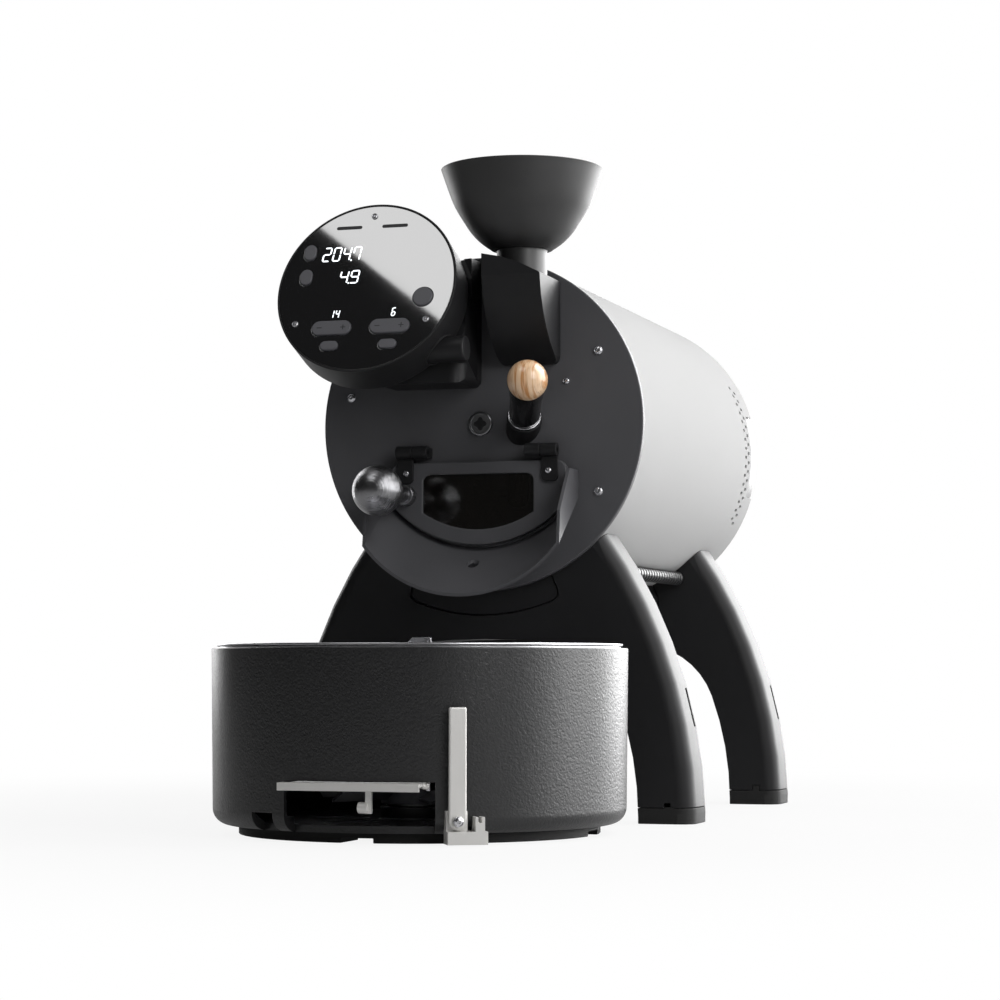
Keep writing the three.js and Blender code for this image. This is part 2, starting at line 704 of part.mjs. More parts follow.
function buildBelly() {
  const shellSeat = shell.radius + gap;
  const section = underShell(shellSeat, duct.radius, ductHalfAngle, duct.corner);
  const outside = frontToBack(section, duct.front, ductRear);
  const hollowAngle = ductHalfAngle - duct.wall / shellSeat;
  const hollow = frontToBack(
    underShell(shellSeat - overrun, duct.radius - duct.wall, hollowAngle, duct.corner - duct.wall),
    duct.front + duct.wall,
    ductRear - duct.wall,
  );
  piece(head, "belly_duct", cut(outside, hollow), blackCoat);

  const floor = duct.radius - duct.wall;
  const boardBottom = gap - Math.sqrt(floor ** 2 - board.halfWidth ** 2);
  const boardTop = boardBottom + board.thickness;
  const plateBody = block(
    -board.halfWidth,
    board.halfWidth,
    board.front,
    board.front + board.length,
    boardBottom,
    boardTop,
  );
  const parts = boardParts.map(({ frontShare, lengthShare, widthShare, height }) => {
    const front = board.front + board.length * frontShare;
    const half = board.halfWidth * widthShare;
    return block(-half, half, front, front + board.length * lengthShare, boardTop - gap, boardTop + height);
  });
  piece(head, "control_board", joined(plateBody, ...parts), circuitGreen);
}

// The loom's ribbed sleeve runs straight from one leg to the other beside the duct.
function buildLoom() {
  const front = legFront + leg.thickness + gap;
  const back = rearLegFront - gap;
  const ribs = Math.round((back - front) / loom.pitch);
  const pitch = (back - front) / ribs;
  const profile = [[loom.boreRadius, front]];
  for (let i = 0; i < ribs; i += 1) {
    const start = front + i * pitch;
    profile.push([loom.radius - loom.groove, start], [loom.radius, start + pitch / 2]);
  }
  profile.push([loom.radius - loom.groove, back], [loom.boreRadius, back], [loom.boreRadius, front]);
  const points = profile.map(([radius, along]) => new THREE.Vector2(radius, along));
  const reach = shell.radius + loom.fromShell + loom.radius;
  const x = reach * Math.sin(loom.angle * degree);
  const z = -reach * Math.cos(loom.angle * degree);
  const sleeve = solid(new THREE.LatheGeometry(points, fewestSides));
  piece(head, "cable_loom", moved(sleeve, x, 0, z), blackPlastic);
}

function archOutline() {
  const sideTo = arch.sideAngle * degree;
  const shoulderTo = archShoulder.angle * degree;
  const side = arc(archHalfWidth - arch.sideRadius, arch.springHeight, arch.sideRadius, 0, sideTo);
  const sideEnd = side.at(-1);
  const bend = archShoulder.radius;
  const shoulderX = sideEnd.x - bend * Math.cos(sideTo);
  const shoulderZ = sideEnd.y - bend * Math.sin(sideTo);
  const shoulder = arc(shoulderX, shoulderZ, bend, sideTo, shoulderTo);
  const shoulderEnd = shoulder.at(-1);
  const crownRadius = shoulderEnd.x / Math.cos(shoulderTo);
  const crownZ = shoulderEnd.y - crownRadius * Math.sin(shoulderTo);
  const crown = arc(0, crownZ, crownRadius, shoulderTo, Math.PI / 2);
  const right = [...side, ...shoulder.slice(1), ...crown.slice(1)];
  const left = right.slice(0, -1).reverse().map(({ x, y }) => new THREE.Vector2(-x, y));
  const belowFloor = arch.springHeight - leg.thickness;
  return [
    new THREE.Vector2(archHalfWidth, belowFloor),
    ...right,
    ...left,
    new THREE.Vector2(-archHalfWidth, belowFloor),
  ];
}

// One leg frame, whole, with its front face at y = 0 and the floor at z = 0.
function legBlank() {
  const centre = leg.halfWidth - leg.sweepRadius;
  const topAngle = Math.acos(-centre / leg.sweepRadius);
  const lowAngle = -Math.asin((leg.edge * 2) / leg.sweepRadius);
  const right = Array.from({ length: sweepSteps + 1 }, (_, i) => {
    const angle = lowAngle + ((topAngle - lowAngle) * i) / sweepSteps;
    return new THREE.Vector2(centre + leg.sweepRadius * Math.cos(angle), leg.sweepRadius * Math.sin(angle));
  }).slice(0, -1);
  const left = right.map(({ x, y }) => new THREE.Vector2(-x, y)).reverse();
  const bevel = { bevelThickness: leg.edge, bevelSize: leg.edge, bevelOffset: -leg.edge, bevelSegments: 3 };
  const shape = new THREE.Shape([...right, ...left]);
  const geometry = new THREE.ExtrudeGeometry(shape, { depth: leg.thickness - 2 * leg.edge, ...bevel });
  const rounded = solid(geometry.rotateX(Math.PI / 2).translate(0, leg.thickness - leg.edge, 0));
  const slotY = legSlot.fromFront;
  const slot = block(
    archHalfWidth,
    leg.halfWidth + overrun,
    slotY - legSlot.width / 2,
    slotY + legSlot.width / 2,
    legSlot.bottom,
    legSlot.bottom + legSlot.height,
  );
  const slotMiddle = legSlot.bottom + legSlot.height / 2;
  const outerAtSlot = centre + Math.sqrt(leg.sweepRadius ** 2 - slotMiddle ** 2);
  const blind = block(0, outerAtSlot - legSlot.depth, -overrun, leg.thickness + overrun, 0, axisHeight);
  const oneSlot = cut(slot, blind);
  const archCutter = frontToBack(archOutline(), -overrun, leg.thickness + overrun);
  const below = block(
    -leg.halfWidth - overrun,
    leg.halfWidth + overrun,
    -overrun,
    leg.thickness + overrun,
    -leg.thickness,
    0,
  );
  return cut(rounded, archCutter, oneSlot, oneSlot.mirror([1, 0, 0]), below);
}

function buildStand() {
  const blank = legBlank();
  const far = leg.halfWidth + overrun;
  const shellSeat = moved(rodY(shell.radius + gap, -overrun, shellRear), 0, 0, axisHeight);
  const plateSeat = moved(rodY(plate.radius + gap, -overrun, shellFront), 0, 0, axisHeight);
  const pocketAngle = ductHalfAngle + gap / shell.radius;
  const pocketSector = underShell(shellBore, duct.radius + gap, pocketAngle, duct.corner);
  const pocket = moved(frontToBack(pocketSector, 0, shellRear), 0, 0, axisHeight);
  for (const [place, front] of [["front", legFront], ["rear", rearLegFront]]) {
    const whole = moved(blank, 0, front, 0);
    const back = front + leg.thickness;
    const footCutter = block(-far, far, front - overrun, back + overrun, -overrun, foot.height + gap);
    const tongue = (side, margin) => {
      const x = side * (leg.halfWidth - foot.tongueInset);
      const half = foot.tongueWidth / 2 + margin;
      const top = foot.height + foot.tongueRise + margin;
      return block(x - half, x + half, front, front + foot.tongueDepth + margin, foot.height - margin, top);
    };
    const upper = cut(whole, shellSeat, plateSeat, pocket, footCutter, tongue(-1, gap), tongue(1, gap));
    piece(stand, `${place}_leg`, upper, blackCoat);
    for (const [side, sign] of [["left", -1], ["right", 1]]) {
      const [from, to] = [Math.min(0, sign * far), Math.max(0, sign * far)];
      const box = block(from, to, front - gap, back + gap, 0, foot.height);
      const shoe = joined(whole.intersect(box), tongue(sign, 0).intersect(whole));
      piece(stand, `${place}_${side}_foot`, shoe, rubber);
    }
  }
}

function buildChute() {
  const above = chute.topRadius + overrun;
  const toe = new THREE.Vector2(-chuteToe.depth, chuteBottom);
  const knee = new THREE.Vector2(-chuteKnee.depth, chuteKnee.rise);
  const side = [
    new THREE.Vector2(-gap, chuteBottom),
    ...arcBetween(toe, knee, chuteBend.radius),
    new THREE.Vector2(-chute.depth, chute.noseRise),
    new THREE.Vector2(-chute.depth, above),
    new THREE.Vector2(-gap, above),
  ];
  const front = outline([
    [chute.left, above],
    [chute.left, chuteBottom, chuteBend.edge],
    [chute.right, chuteBottom, chuteBend.corner],
    [chute.right, above],
  ]);
  const body = leftToRight(side, chute.left, chute.right)
    .intersect(frontToBack(front, -chute.depth - overrun, overrun))
    .intersect(rodY(chute.topRadius, -chute.depth - overrun, overrun));
  const socketBody = rodZ(hopper.neckRadius + gap, hopper.neckBottom - gap, plate.radius + overrun);
  const neckSocket = moved(socketBody, chutePath.right, -chutePath.depth, 0);
  piece(head, "inlet_chute", cut(body, neckSocket, chutePassage()), blackCoat);
}

function buildHopper() {
  const rise = bowl.height;
  const outer = bowlShares.map(([across, up]) => {
    const radius = bowl.footRadius + (bowl.radius - bowl.footRadius) * across;
    return new THREE.Vector2(radius, hopper.shoulder + rise * up);
  });
  const inner = outer.map((point, i) => {
    const before = outer[Math.max(0, i - 1)];
    const after = outer[Math.min(outer.length - 1, i + 1)];
    const along = after.clone().sub(before).normalize();
    return new THREE.Vector2(point.x - hopper.wall * along.y, point.y + hopper.wall * along.x);
  });
  inner[inner.length - 1].y = outer.at(-1).y;
  const profile = [
    [hopper.neckBore, hopper.neckBottom],
    [hopper.neckRadius, hopper.neckBottom],
    [hopper.neckRadius, hopper.shoulder],
    ...outer.map(({ x, y }) => [x, y]),
    ...inner.reverse().filter((_, i) => i % 2 === 0).map(({ x, y }) => [x, y]),
    [hopper.neckBore, hopper.shoulder + hopper.wall],
    [hopper.neckBore, hopper.neckBottom],
  ];
  piece(head, "hopper_bowl", moved(latheZ(profile), chutePath.right, -chutePath.depth, 0), blackCoat);
}

// The can's outer shape, larger by a margin, as a cutter in the head's frame.
function canEnvelope(margin) {
  const body = rodZ(display.radius + margin, -display.thickness - margin, margin + overrun);
  return placed(body, displayGroup.matrix);
}

function armRod(radius, left, right) {
  return moved(rodX(radius, left, right), 0, -arm.depth, arm.rise);
}

function pill({ right, up, width, height }, margin) {
  const corner = Math.min(width, height) / 2 + margin;
  const halfWidth = width / 2 + margin;
  const halfHeight = height / 2 + margin;
  if (width === height) return circle(right, up, corner);
  const alongX = halfWidth > halfHeight;
  const reach = Math.abs(halfWidth - halfHeight);
  const first = alongX ? [right + reach, up, -Math.PI / 2] : [right, up + reach, 0];
  const second = alongX ? [right - reach, up, Math.PI / 2] : [right, up - reach, Math.PI];
  return [
    ...arc(first[0], first[1], corner, first[2], first[2] + Math.PI),
    ...arc(second[0], second[1], corner, second[2], second[2] + Math.PI),
  ];
}

function buildDisplay() {
  const seat = display.radius - can.rim;
  const hollow = seat - can.ledge;
  const toDisplay = displayGroup.matrix.clone().invert();
  const armHole = placed(armRod(arm.radius + gap, arm.left - gap, arm.right + overrun), toDisplay);
  const canBody = latheZ([
    [0, -display.thickness],
    [display.radius - can.backEdge, -display.thickness],
    [display.radius, can.backEdge - display.thickness],
    [display.radius, -can.rimEdge],
    [display.radius - can.rimEdge, 0],
    [seat, 0],
    [seat, -can.recess],
    [hollow, -can.recess],
    [hollow, can.backWall - display.thickness],
    [0, can.backWall - display.thickness],
  ]);
  piece(displayGroup, "display_can", cut(canBody, armHole), blackCoat);

  const glassFront = -gap;
  const glassBack = gap - can.recess;
  const holes = Object.values(buttons).map((place) => pill(place, button.gapRound));
  const pane = upright(circle(0, 0, seat - gap), glassBack, glassFront, holes);
  piece(displayGroup, "display_glass", pane, blackGlass);
  const boardTop = -displayBoard.front;
  const boardBody = rodZ(hollow - gap, boardTop - displayBoard.thickness, boardTop);
  piece(displayGroup, "display_board", boardBody, circuitGreen);
  for (const [name, place] of Object.entries(buttons)) {
    const body = upright(pill(place, 0), -button.foot, button.standOut);
    piece(displayGroup, name, body, greyPlastic);
  }
}

function buildArmAndBracket() {
  const rod = moved(
    solid(
      turnedY([
        [0, arm.left],
        [arm.radius, arm.left],
        [arm.radius, arm.right - arm.edge],
        [arm.radius - arm.edge, arm.right],
        [0, arm.right],
      ]).rotateZ(-Math.PI / 2),
    ),
    0,
    -arm.depth,
    arm.rise,
  );
  piece(head, "display_arm", rod, blackCoat);

  const plan = outline([
    [bracket.left, -gap],
    [bracket.left, -bracket.depth, bracket.edge],
    [bracket.right, -bracket.depth, bracket.edge],
    [bracket.right, -gap],
  ]);
  const face = rectangle(bracket.left, bracket.right, bracket.bottom, bracket.top, bracket.corner);
  const lower = upright(plan, bracket.bottom, bracket.top)
    .intersect(frontToBack(face, -bracket.depth - overrun, overrun))
    .intersect(rodY(chute.topRadius, -bracket.depth - overrun, overrun));
  const upper = block(
    bracketHead.left,
    bracket.right,
    -bracketHead.depth,
    -gap,
    bracket.top - bracket.corner * 2,
    chute.topRadius + overrun,
  ).intersect(rodY(chute.topRadius, -bracket.depth, overrun));
  const cradle = block(
    bracket.right - saddle.width,
    bracket.right,
    -saddle.reach,
    -bracket.edge,
    arm.rise - saddle.halfHeight,
    arm.rise + saddle.halfHeight,
  );
  const armClear = armRod(arm.radius + gap, bracket.left - overrun, arm.right + overrun);
  const body = cut(joined(lower, upper, cradle), canEnvelope(bracket.clear), armClear);
  piece(head, "arm_bracket", body, blackCoat);
}

function buildTrier() {
  const behindFace = trierCollar.radius * 2;
  const toTrier = trierGroup.matrix.clone().invert();
  const far = plate.radius;
  const plateBody = placed(block(-far, far, -gap, far, -far, far), toTrier);
  const collarBody = latheZ([
    [trierTube.radius + gap, -behindFace],
    [trierCollar.radius, -behindFace],
    [trierCollar.radius, trierCollar.length],
    [trierTube.radius + gap, trierCollar.length],
    [trierTube.radius + gap, -behindFace],
  ]);
  piece(trierGroup, "trier_collar", cut(collarBody, plateBody), blackCoat);

  const rod = latheZ([
    [0, -trierTube.reach],
    [trierTube.radius, -trierTube.reach],
    [trierTube.radius, trierGrip.from],
    [trierGrip.radius - trierGrip.edge, trierGrip.from],
    [trierGrip.radius, trierGrip.from + trierGrip.edge],
    [trierGrip.radius, trierGrip.to],
    [0, trierGrip.to],
  ]);
  const scoopBottom = -trierTube.reach + trierMouth.fromTip;
  const inside = trierTube.radius - trierTube.wall;
  const bore = rodZ(inside, scoopBottom, scoopBottom + trierMouth.length);
  const openSide = block(
    -trierTube.radius - slack,
    trierTube.radius + slack,
    0,
    trierTube.radius + slack,
    scoopBottom,
    scoopBottom + trierMouth.length - trierMouth.plug,
  );
  piece(trierGroup, "trier_tube", cut(rod, bore, openSide), darkSteel);

  const knobStart = Math.asin(trierHandle.radius / trierHandle.knobRadius);
  const ball = arc(
    0,
    trierHandle.knobCentre,
    trierHandle.knobRadius,
    knobStart - Math.PI / 2,
    Math.PI / 2,
  );
  const handle = latheZ([
    [0, trierGrip.to + gap],
    [trierHandle.radius, trierGrip.to + gap],
    ...ball.map(({ x, y }) => [x, y]),
  ]);
  piece(trierGroup, "trier_handle", handle, turnedWood);
}

function buildBezel() {
  const body = latheY([
    [0, -bezel.standOut + bezelRing.depth],
    [bezelRing.radius, -bezel.standOut + bezelRing.depth],
    [bezelRing.radius, -bezel.standOut],
    [bezel.radius - bezel.edge, -bezel.standOut],
    [bezel.radius, bezel.edge - bezel.standOut],
    [bezel.radius, -gap],
    [bezel.stemRadius, -gap],
    [bezel.stemRadius, bezel.stemLength],
    [0, bezel.stemLength],
  ]);
  piece(head, "sensor_bezel", body, brushedSteel);
}

function buildDoor() {
  const rebate = doorGlass.rebate;
  const pane = (margin) =>
    doorOutline(
      doorWindow.halfWidth + rebate - margin,
      doorWindow.top + rebate - margin,
      doorWindow.radius + rebate - margin,
      doorWindow.corner,
    );
  const sight = doorOutline(doorWindow.halfWidth, doorWindow.top, doorWindow.radius, doorWindow.corner);
  const frameBody = cut(
    frontToBack(doorOutline(door.halfWidth, door.top, door.radius, door.corner), -door.front, -door.back),
    frontToBack(sight, -door.front - overrun, overrun),
    frontToBack(pane(0), -doorGlass.front - gap, overrun),
  );
  piece(head, "door_frame", frameBody, blackCoat);
  const glassBody = frontToBack(pane(gap), -doorGlass.front, doorGlass.thickness - doorGlass.front);
  piece(head, "door_glass", glassBody, clearGlass);

  const stemFront = knobCollar.length - knob.depth + knob.radius;
  const ballStart = Math.asin(knob.stemRadius / knob.radius);
  const ball = arc(0, -knob.depth, knob.radius, Math.PI / 2 - ballStart, -Math.PI / 2);
  const knobBody = latheY([
    [0, -door.front - gap],
    [knobCollar.radius, -door.front - gap],
    [knobCollar.radius, -door.front - gap - knobCollar.length],
    [knob.stemRadius, -door.front - gap - knobCollar.length],
    [knob.stemRadius, stemFront - knobCollar.length],
    ...ball.map(({ x, y }) => [x, y]),
  ]);
  piece(head, "door_knob", moved(knobBody, knob.left, 0, -knob.drop), brushedSteel);
}

function buildHinges() {
  const { y, z } = hingeAxis;
  const leafBack = -door.front - gap;
  const leafBottom = z - hingeLeaf.bottom;
  const leafInner = hinge.split + gap / 2;
  const knuckleOuter = hinge.split - gap / 2;
  for (const [side, sign] of [["left", -1], ["right", 1]]) {
    const place = (body) => (sign < 0 ? body.mirror([1, 0, 0]) : body);
    const barrel = (radius, inner, outer) => moved(rodX(radius, inner, outer), 0, y, z);
    const leafFace = outline([
      [leafInner, leafBottom, hingeLeaf.corner],
      [hinge.outer, leafBottom, hingeLeaf.corner],
      [hinge.outer, z],
      [leafInner, z],
    ]);
    const leafBody = cut(
      joined(
        frontToBack(leafFace, leafBack - hingeLeaf.thickness, leafBack),
        barrel(hinge.barrelRadius, leafInner, hinge.outer),
      ),
      barrel(hinge.pinRadius + gap, leafInner - slack, hinge.outer + slack),
    );
    piece(head, `${side}_hinge_leaf`, place(leafBody), blackCoat);
    const lug = block(
      hinge.inner,
      knuckleOuter,
      y,
      -gap,
      z - hingeLug.halfHeight,
      z + hingeLug.halfHeight,
    );
    const knuckleBody = joined(
      barrel(hinge.barrelRadius, hinge.inner, knuckleOuter),
      lug,
      barrel(hinge.pinRadius, hinge.inner, hinge.outer),
    );
    piece(head, `${side}_hinge_knuckle`, place(knuckleBody), blackCoat);
  }
}

function buildTrough() {
  const outerRadius = trough.innerRadius + trough.wall;
  const outerHalf = trough.innerHalfWidth + trough.wall;
  const length = trough.depth + 2 * overrun;
  const high = troughSide.top + length;
  const around = (halfWidth, radius) => doorOutline(halfWidth, high, radius, 0);
  const straight = frontToBack(around(outerHalf, outerRadius), -trough.depth - overrun, overrun);
  const hollow = frontToBack(
    around(trough.innerHalfWidth, trough.innerRadius),
    -trough.depth - overrun * 2,
    overrun * 2,
  );
  const fall = new THREE.Matrix4().makeShear(0, 0, 0, trough.fall, 0, 0);
  const sheet = placed(cut(straight, hollow), fall);
  const lowest = -outerRadius - trough.fall * trough.depth - overrun;
  const side = outline([
    [-gap, troughSide.top],
    [-troughSide.shoulder, troughSide.top],
    [-troughSide.noseDepth, troughSide.noseRise],
    [-trough.depth, troughSide.lipRise],
    [-trough.depth, lowest],
    [-gap, lowest],
  ]);
  const kept = leftToRight(side, -outerHalf - overrun, outerHalf + overrun);
  const drainBore = rodZ(troughHole.radius, lowest, -trough.innerRadius + overrun);
  const drain = moved(drainBore, 0, -troughHole.depth, 0);
  piece(head, "bean_chute", cut(sheet.intersect(kept), drain), blackCoat);
}

// A wedge of the tray between two bearings, which count from straight ahead, to the right.
function traySector(fromBearing, toBearing, inner, outer, bottom, top) {
  const from = fromBearing * degree - Math.PI / 2;
  const to = toBearing * degree - Math.PI / 2;
  return upright([...arc(0, 0, outer, from, to), ...arc(0, 0, inner, to, from)], bottom, top);
}

function trayProfile(margin) {
  const bottom = trayFloor.bottom;
  const fillet = tray.fillet;
  const round = arc(tray.bottomRadius - fillet, bottom + fillet, fillet + margin, -Math.PI / 2, 0);
  return [...round.map(({ x, y }) => [x, y]), [tray.radius + margin, tray.top]];
}

function buildTrayBody() {
  const bottom = trayFloor.bottom;
  const floorTop = bottom + trayFloor.thickness;
  const innerTop = tray.radius - tray.wall;
  const innerLow = tray.bottomRadius - tray.wall;
  const shellBody = latheZ([
    [0, bottom],
    ...trayProfile(0),
    [innerTop, tray.top],
    [innerLow, bottom + tray.fillet],
    [innerLow - tray.fillet, floorTop],
    [trayFloor.bossRadius, floorTop],
    [trayFloor.bossRadius, trayFloor.boss],
    [0, trayFloor.boss],
  ]);
  const restTop = liner.floor - gap;
  const rest = block(
    innerLow - trayRests.reach,
    innerTop + tray.wall / 2,
    -trayRests.width / 2,
    trayRests.width / 2,
    restTop - trayRests.thickness,
    restTop,
  );
  const outside = tray.radius + overrun;
  const exitFloor = tray.bottomRadius - tray.fillet;
  const doorway = traySector(exit.left, exit.right, exitFloor, outside, 0, restTop + 2 * gap);
  const socketHole = traySector(socket.left, socket.right, exitFloor, outside, socket.bottom, socket.top);
  const socketMiddle = (socket.left + socket.right) / 2;
  const socketBody = block(
    -socketBlock.width / 2,
    socketBlock.width / 2,
    tray.fillet + gap - innerLow,
    tray.fillet * 2 - innerLow,
    bottom,
    socketBlock.top,
  ).rotate([0, 0, socketMiddle]);
  const vent = block(
    trayVents.from,
    trayVents.to,
    -trayVents.width / 2,
    trayVents.width / 2,
    0,
    floorTop + overrun,
  );
  const withRests = joined(shellBody, ...ringOf(trayRests.count, "z", rest));
  const opened = cut(withRests, doorway, socketHole, ...ringOf(trayVents.count, "z", vent));
  piece(cooler, "tray_body", joined(opened, socketBody), wrinkleCoat);

  const ring = latheZ([
    [trayBase.innerRadius, 0],
    [trayBase.radius, 0],
    [trayBase.radius, trayBase.height],
    [trayBase.innerRadius, trayBase.height],
    [trayBase.innerRadius, 0],
  ]);
  const notch = block(
    trayBase.innerRadius - overrun,
    trayBase.radius + overrun,
    -trayBase.notchWidth / 2,
    trayBase.notchWidth / 2,
    -overrun,
    trayBase.notchHeight,
  );
  piece(cooler, "tray_base", cut(ring, ...ringOf(trayBase.notches, "z", notch)), rubber);
}

function buildTrayLiner() {
  const inside = liner.radius - liner.wall;
  const beadBottom = liner.top - linerBead.height;
  const pan = latheZ([
    [linerHole.shaftRadius, liner.floor],
    [liner.radius, liner.floor],
    [liner.radius, beadBottom],
    [linerBead.radius, beadBottom],
    [linerBead.radius, liner.top],
    [inside, liner.top],
    [inside, linerFloorTop],
    [linerHole.shaftRadius, linerFloorTop],
    [linerHole.shaftRadius, liner.floor],
  ]);
  const slots = linerSlots.rings.flatMap((radius) => {
    const slot = block(
      radius - linerSlots.length / 2,
      radius + linerSlots.length / 2,
      -linerSlots.width / 2,
      linerSlots.width / 2,
      liner.floor - slack,
      linerFloorTop + slack,
    );
    return ringOf(linerSlots.count, "z", slot);
  });
  const trap = block(
    linerHole.left,
    linerHole.right,
    -liner.radius,
    -linerHole.inner,
    liner.floor - slack,
    linerFloorTop + slack,
  ).intersect(rodZ(inside, 0, liner.top));
  const lugBottom = liner.floor - flapBarrel.lugHeight;
  const pinHeight = flapTop - flapBarrel.radius;
  const lugHalf = flapBarrel.radius;
  const lug = (left) =>
    cut(
      block(
        left,
        left + flapBarrel.lugWidth,
        -flap.hingeDepth - lugHalf,
        -flap.hingeDepth + lugHalf + overrun,
        lugBottom,
        linerFloorTop - liner.floorThickness / 2,
      ),
      moved(
        rodX(flapBarrel.pinRadius + gap, left - slack, left + flapBarrel.lugWidth + slack),
        0,
        -flap.hingeDepth,
        pinHeight,
      ),
    );
  const leftLug = lug(flapBarrel.left - gap - flapBarrel.lugWidth);
  const rightLug = lug(flapBarrel.right + gap);
  const lugRoot = flap.hingeDepth - lugHalf;
  const keep = block(-liner.radius, liner.radius, -lugRoot, lugRoot, 0, liner.top);
  const slotsClear = slots.map((slot) => slot.intersect(keep));
  const body = joined(cut(pan, trap, ...slotsClear), leftLug, rightLug);
  piece(cooler, "tray_liner", body, brushedSteel);
}

function buildTrayDrive() {
  const motorBottom = trayFloor.boss + gap;
  const motorTop = flapTop;
  const shaftBottom = motorTop - trayMotor.bore;
  const motorBody = cut(
    rodZ(trayMotor.radius, motorBottom, motorTop),
    rodZ(trayMotor.shaftRadius + gap, shaftBottom - slack, motorTop + slack),
  );
  piece(cooler, "stirrer_motor", motorBody, darkSteel);

  const hubInner = trayMotor.radius + gap;
  const hubOuter = hubInner + fan.hubWall;
  const hubRing = latheZ([
    [hubInner, fan.from],
    [hubOuter, fan.from],
    [hubOuter, fan.from + fan.height],
    [hubInner, fan.from + fan.height],
    [hubInner, fan.from],
  ]);
  const bladeHalf = fan.height / 2;
  const blade = block(
    hubInner + fan.hubWall / 2,
    fan.radius,
    -bladeHalf,
    bladeHalf,
    -fan.bladeThickness / 2,
    fan.bladeThickness / 2,
  )
    .rotate([fan.pitch, 0, 0])
    .translate([0, 0, fan.from + bladeHalf]);
  piece(cooler, "cooling_fan", joined(hubRing, ...ringOf(fan.blades, "z", blade)), greyPlastic);

  const hubBottom = linerFloorTop + gap;
  const hub = joined(
    rodZ(stirrer.hubRadius, hubBottom, stirrer.hubTop),
    rodZ(trayMotor.shaftRadius, shaftBottom, hubBottom + slack),
  );
  const arms = ringOf(
    stirrer.arms,
    "z",
    block(
      0,
      stirrer.armReach,
      -stirrer.armThickness / 2,
      stirrer.armThickness / 2,
      hubBottom + slack,
      hubBottom + slack + stirrer.armHeight,
    ),
  );
  const finBottom = stirrer.hubTop - overrun;
  const fin = frontToBack(
    outline([
      [stirrer.hubRadius, finBottom],
      [stirrer.hubRadius, stirrerFin.top - stirrerFin.low],
      [stirrer.hubRadius - stirrerFin.low / 4, stirrerFin.top],
      [stirrer.hubRadius - stirrerFin.flat - stirrerFin.low / 4, stirrerFin.top],
      [-stirrerFin.length, stirrer.hubTop + stirrerFin.low],
      [-stirrer.hubRadius, finBottom],
    ]),
    -stirrerFin.thickness / 2,
    stirrerFin.thickness / 2,
  );
  piece(cooler, "stirrer", joined(hub, ...arms, fin), brushedSteel);
}

function buildFlap() {
  const bottom = flapTop - flap.thickness;
  const pinHeight = flapTop - flapBarrel.radius;
  const neckLeft = linerHole.left;
  const neckRight = linerHole.right;
  const neck = block(neckLeft, neckRight, -flapWings.inner - overrun, -flap.hingeDepth, bottom, flapTop);
  const wings = block(flapWings.left, flapWings.right, -flap.lipDepth, -flapWings.inner, bottom, flapTop);
  const lip = block(
    flapWings.left,
    flapWings.right,
    -flap.lipDepth,
    flap.lipThickness - flap.lipDepth,
    flapTop - flap.lip,
    flapTop,
  );
  const corners = (left, right) => block(left, right, -flap.hingeDepth - overrun, overrun, 0, liner.floor);
  const barrelAt = (radius, left, right) => moved(rodX(radius, left, right), 0, -flap.hingeDepth, pinHeight);
  const armRight = flapArm.left + flapArm.width;
  const hangArm = block(
    flapArm.left,
    armRight,
    -flapArm.front,
    flapArm.depth - flapArm.front,
    flapArm.bottom,
    flapTop - flap.thickness / 2,
  );
  const wheel = moved(
    rodX(roller.radius, flapArm.left - roller.width, flapArm.left + flapArm.width / 2),
    0,
    flapArm.depth / 2 - flapArm.front,
    roller.height,
  );
  const pinRod = rodX(flapPin.radius, neckRight - slack, neckRight + flapPin.length);
  const drivePin = moved(pinRod, 0, -flapPin.depth, bottom);
  const leaf = cut(
    joined(neck, wings, lip),
    corners(neckLeft - slack, flapBarrel.left),
    corners(flapBarrel.right, neckRight + slack),
  );
  const body = joined(
    leaf,
    barrelAt(flapBarrel.radius, flapBarrel.left, flapBarrel.right),
    barrelAt(
      flapBarrel.pinRadius,
      flapBarrel.left - gap - flapBarrel.lugWidth,
      flapBarrel.right + gap + flapBarrel.lugWidth,
    ),
    hangArm,
    wheel,
    drivePin,
  );
  piece(cooler, "exit_flap", body, paleMetal);
}

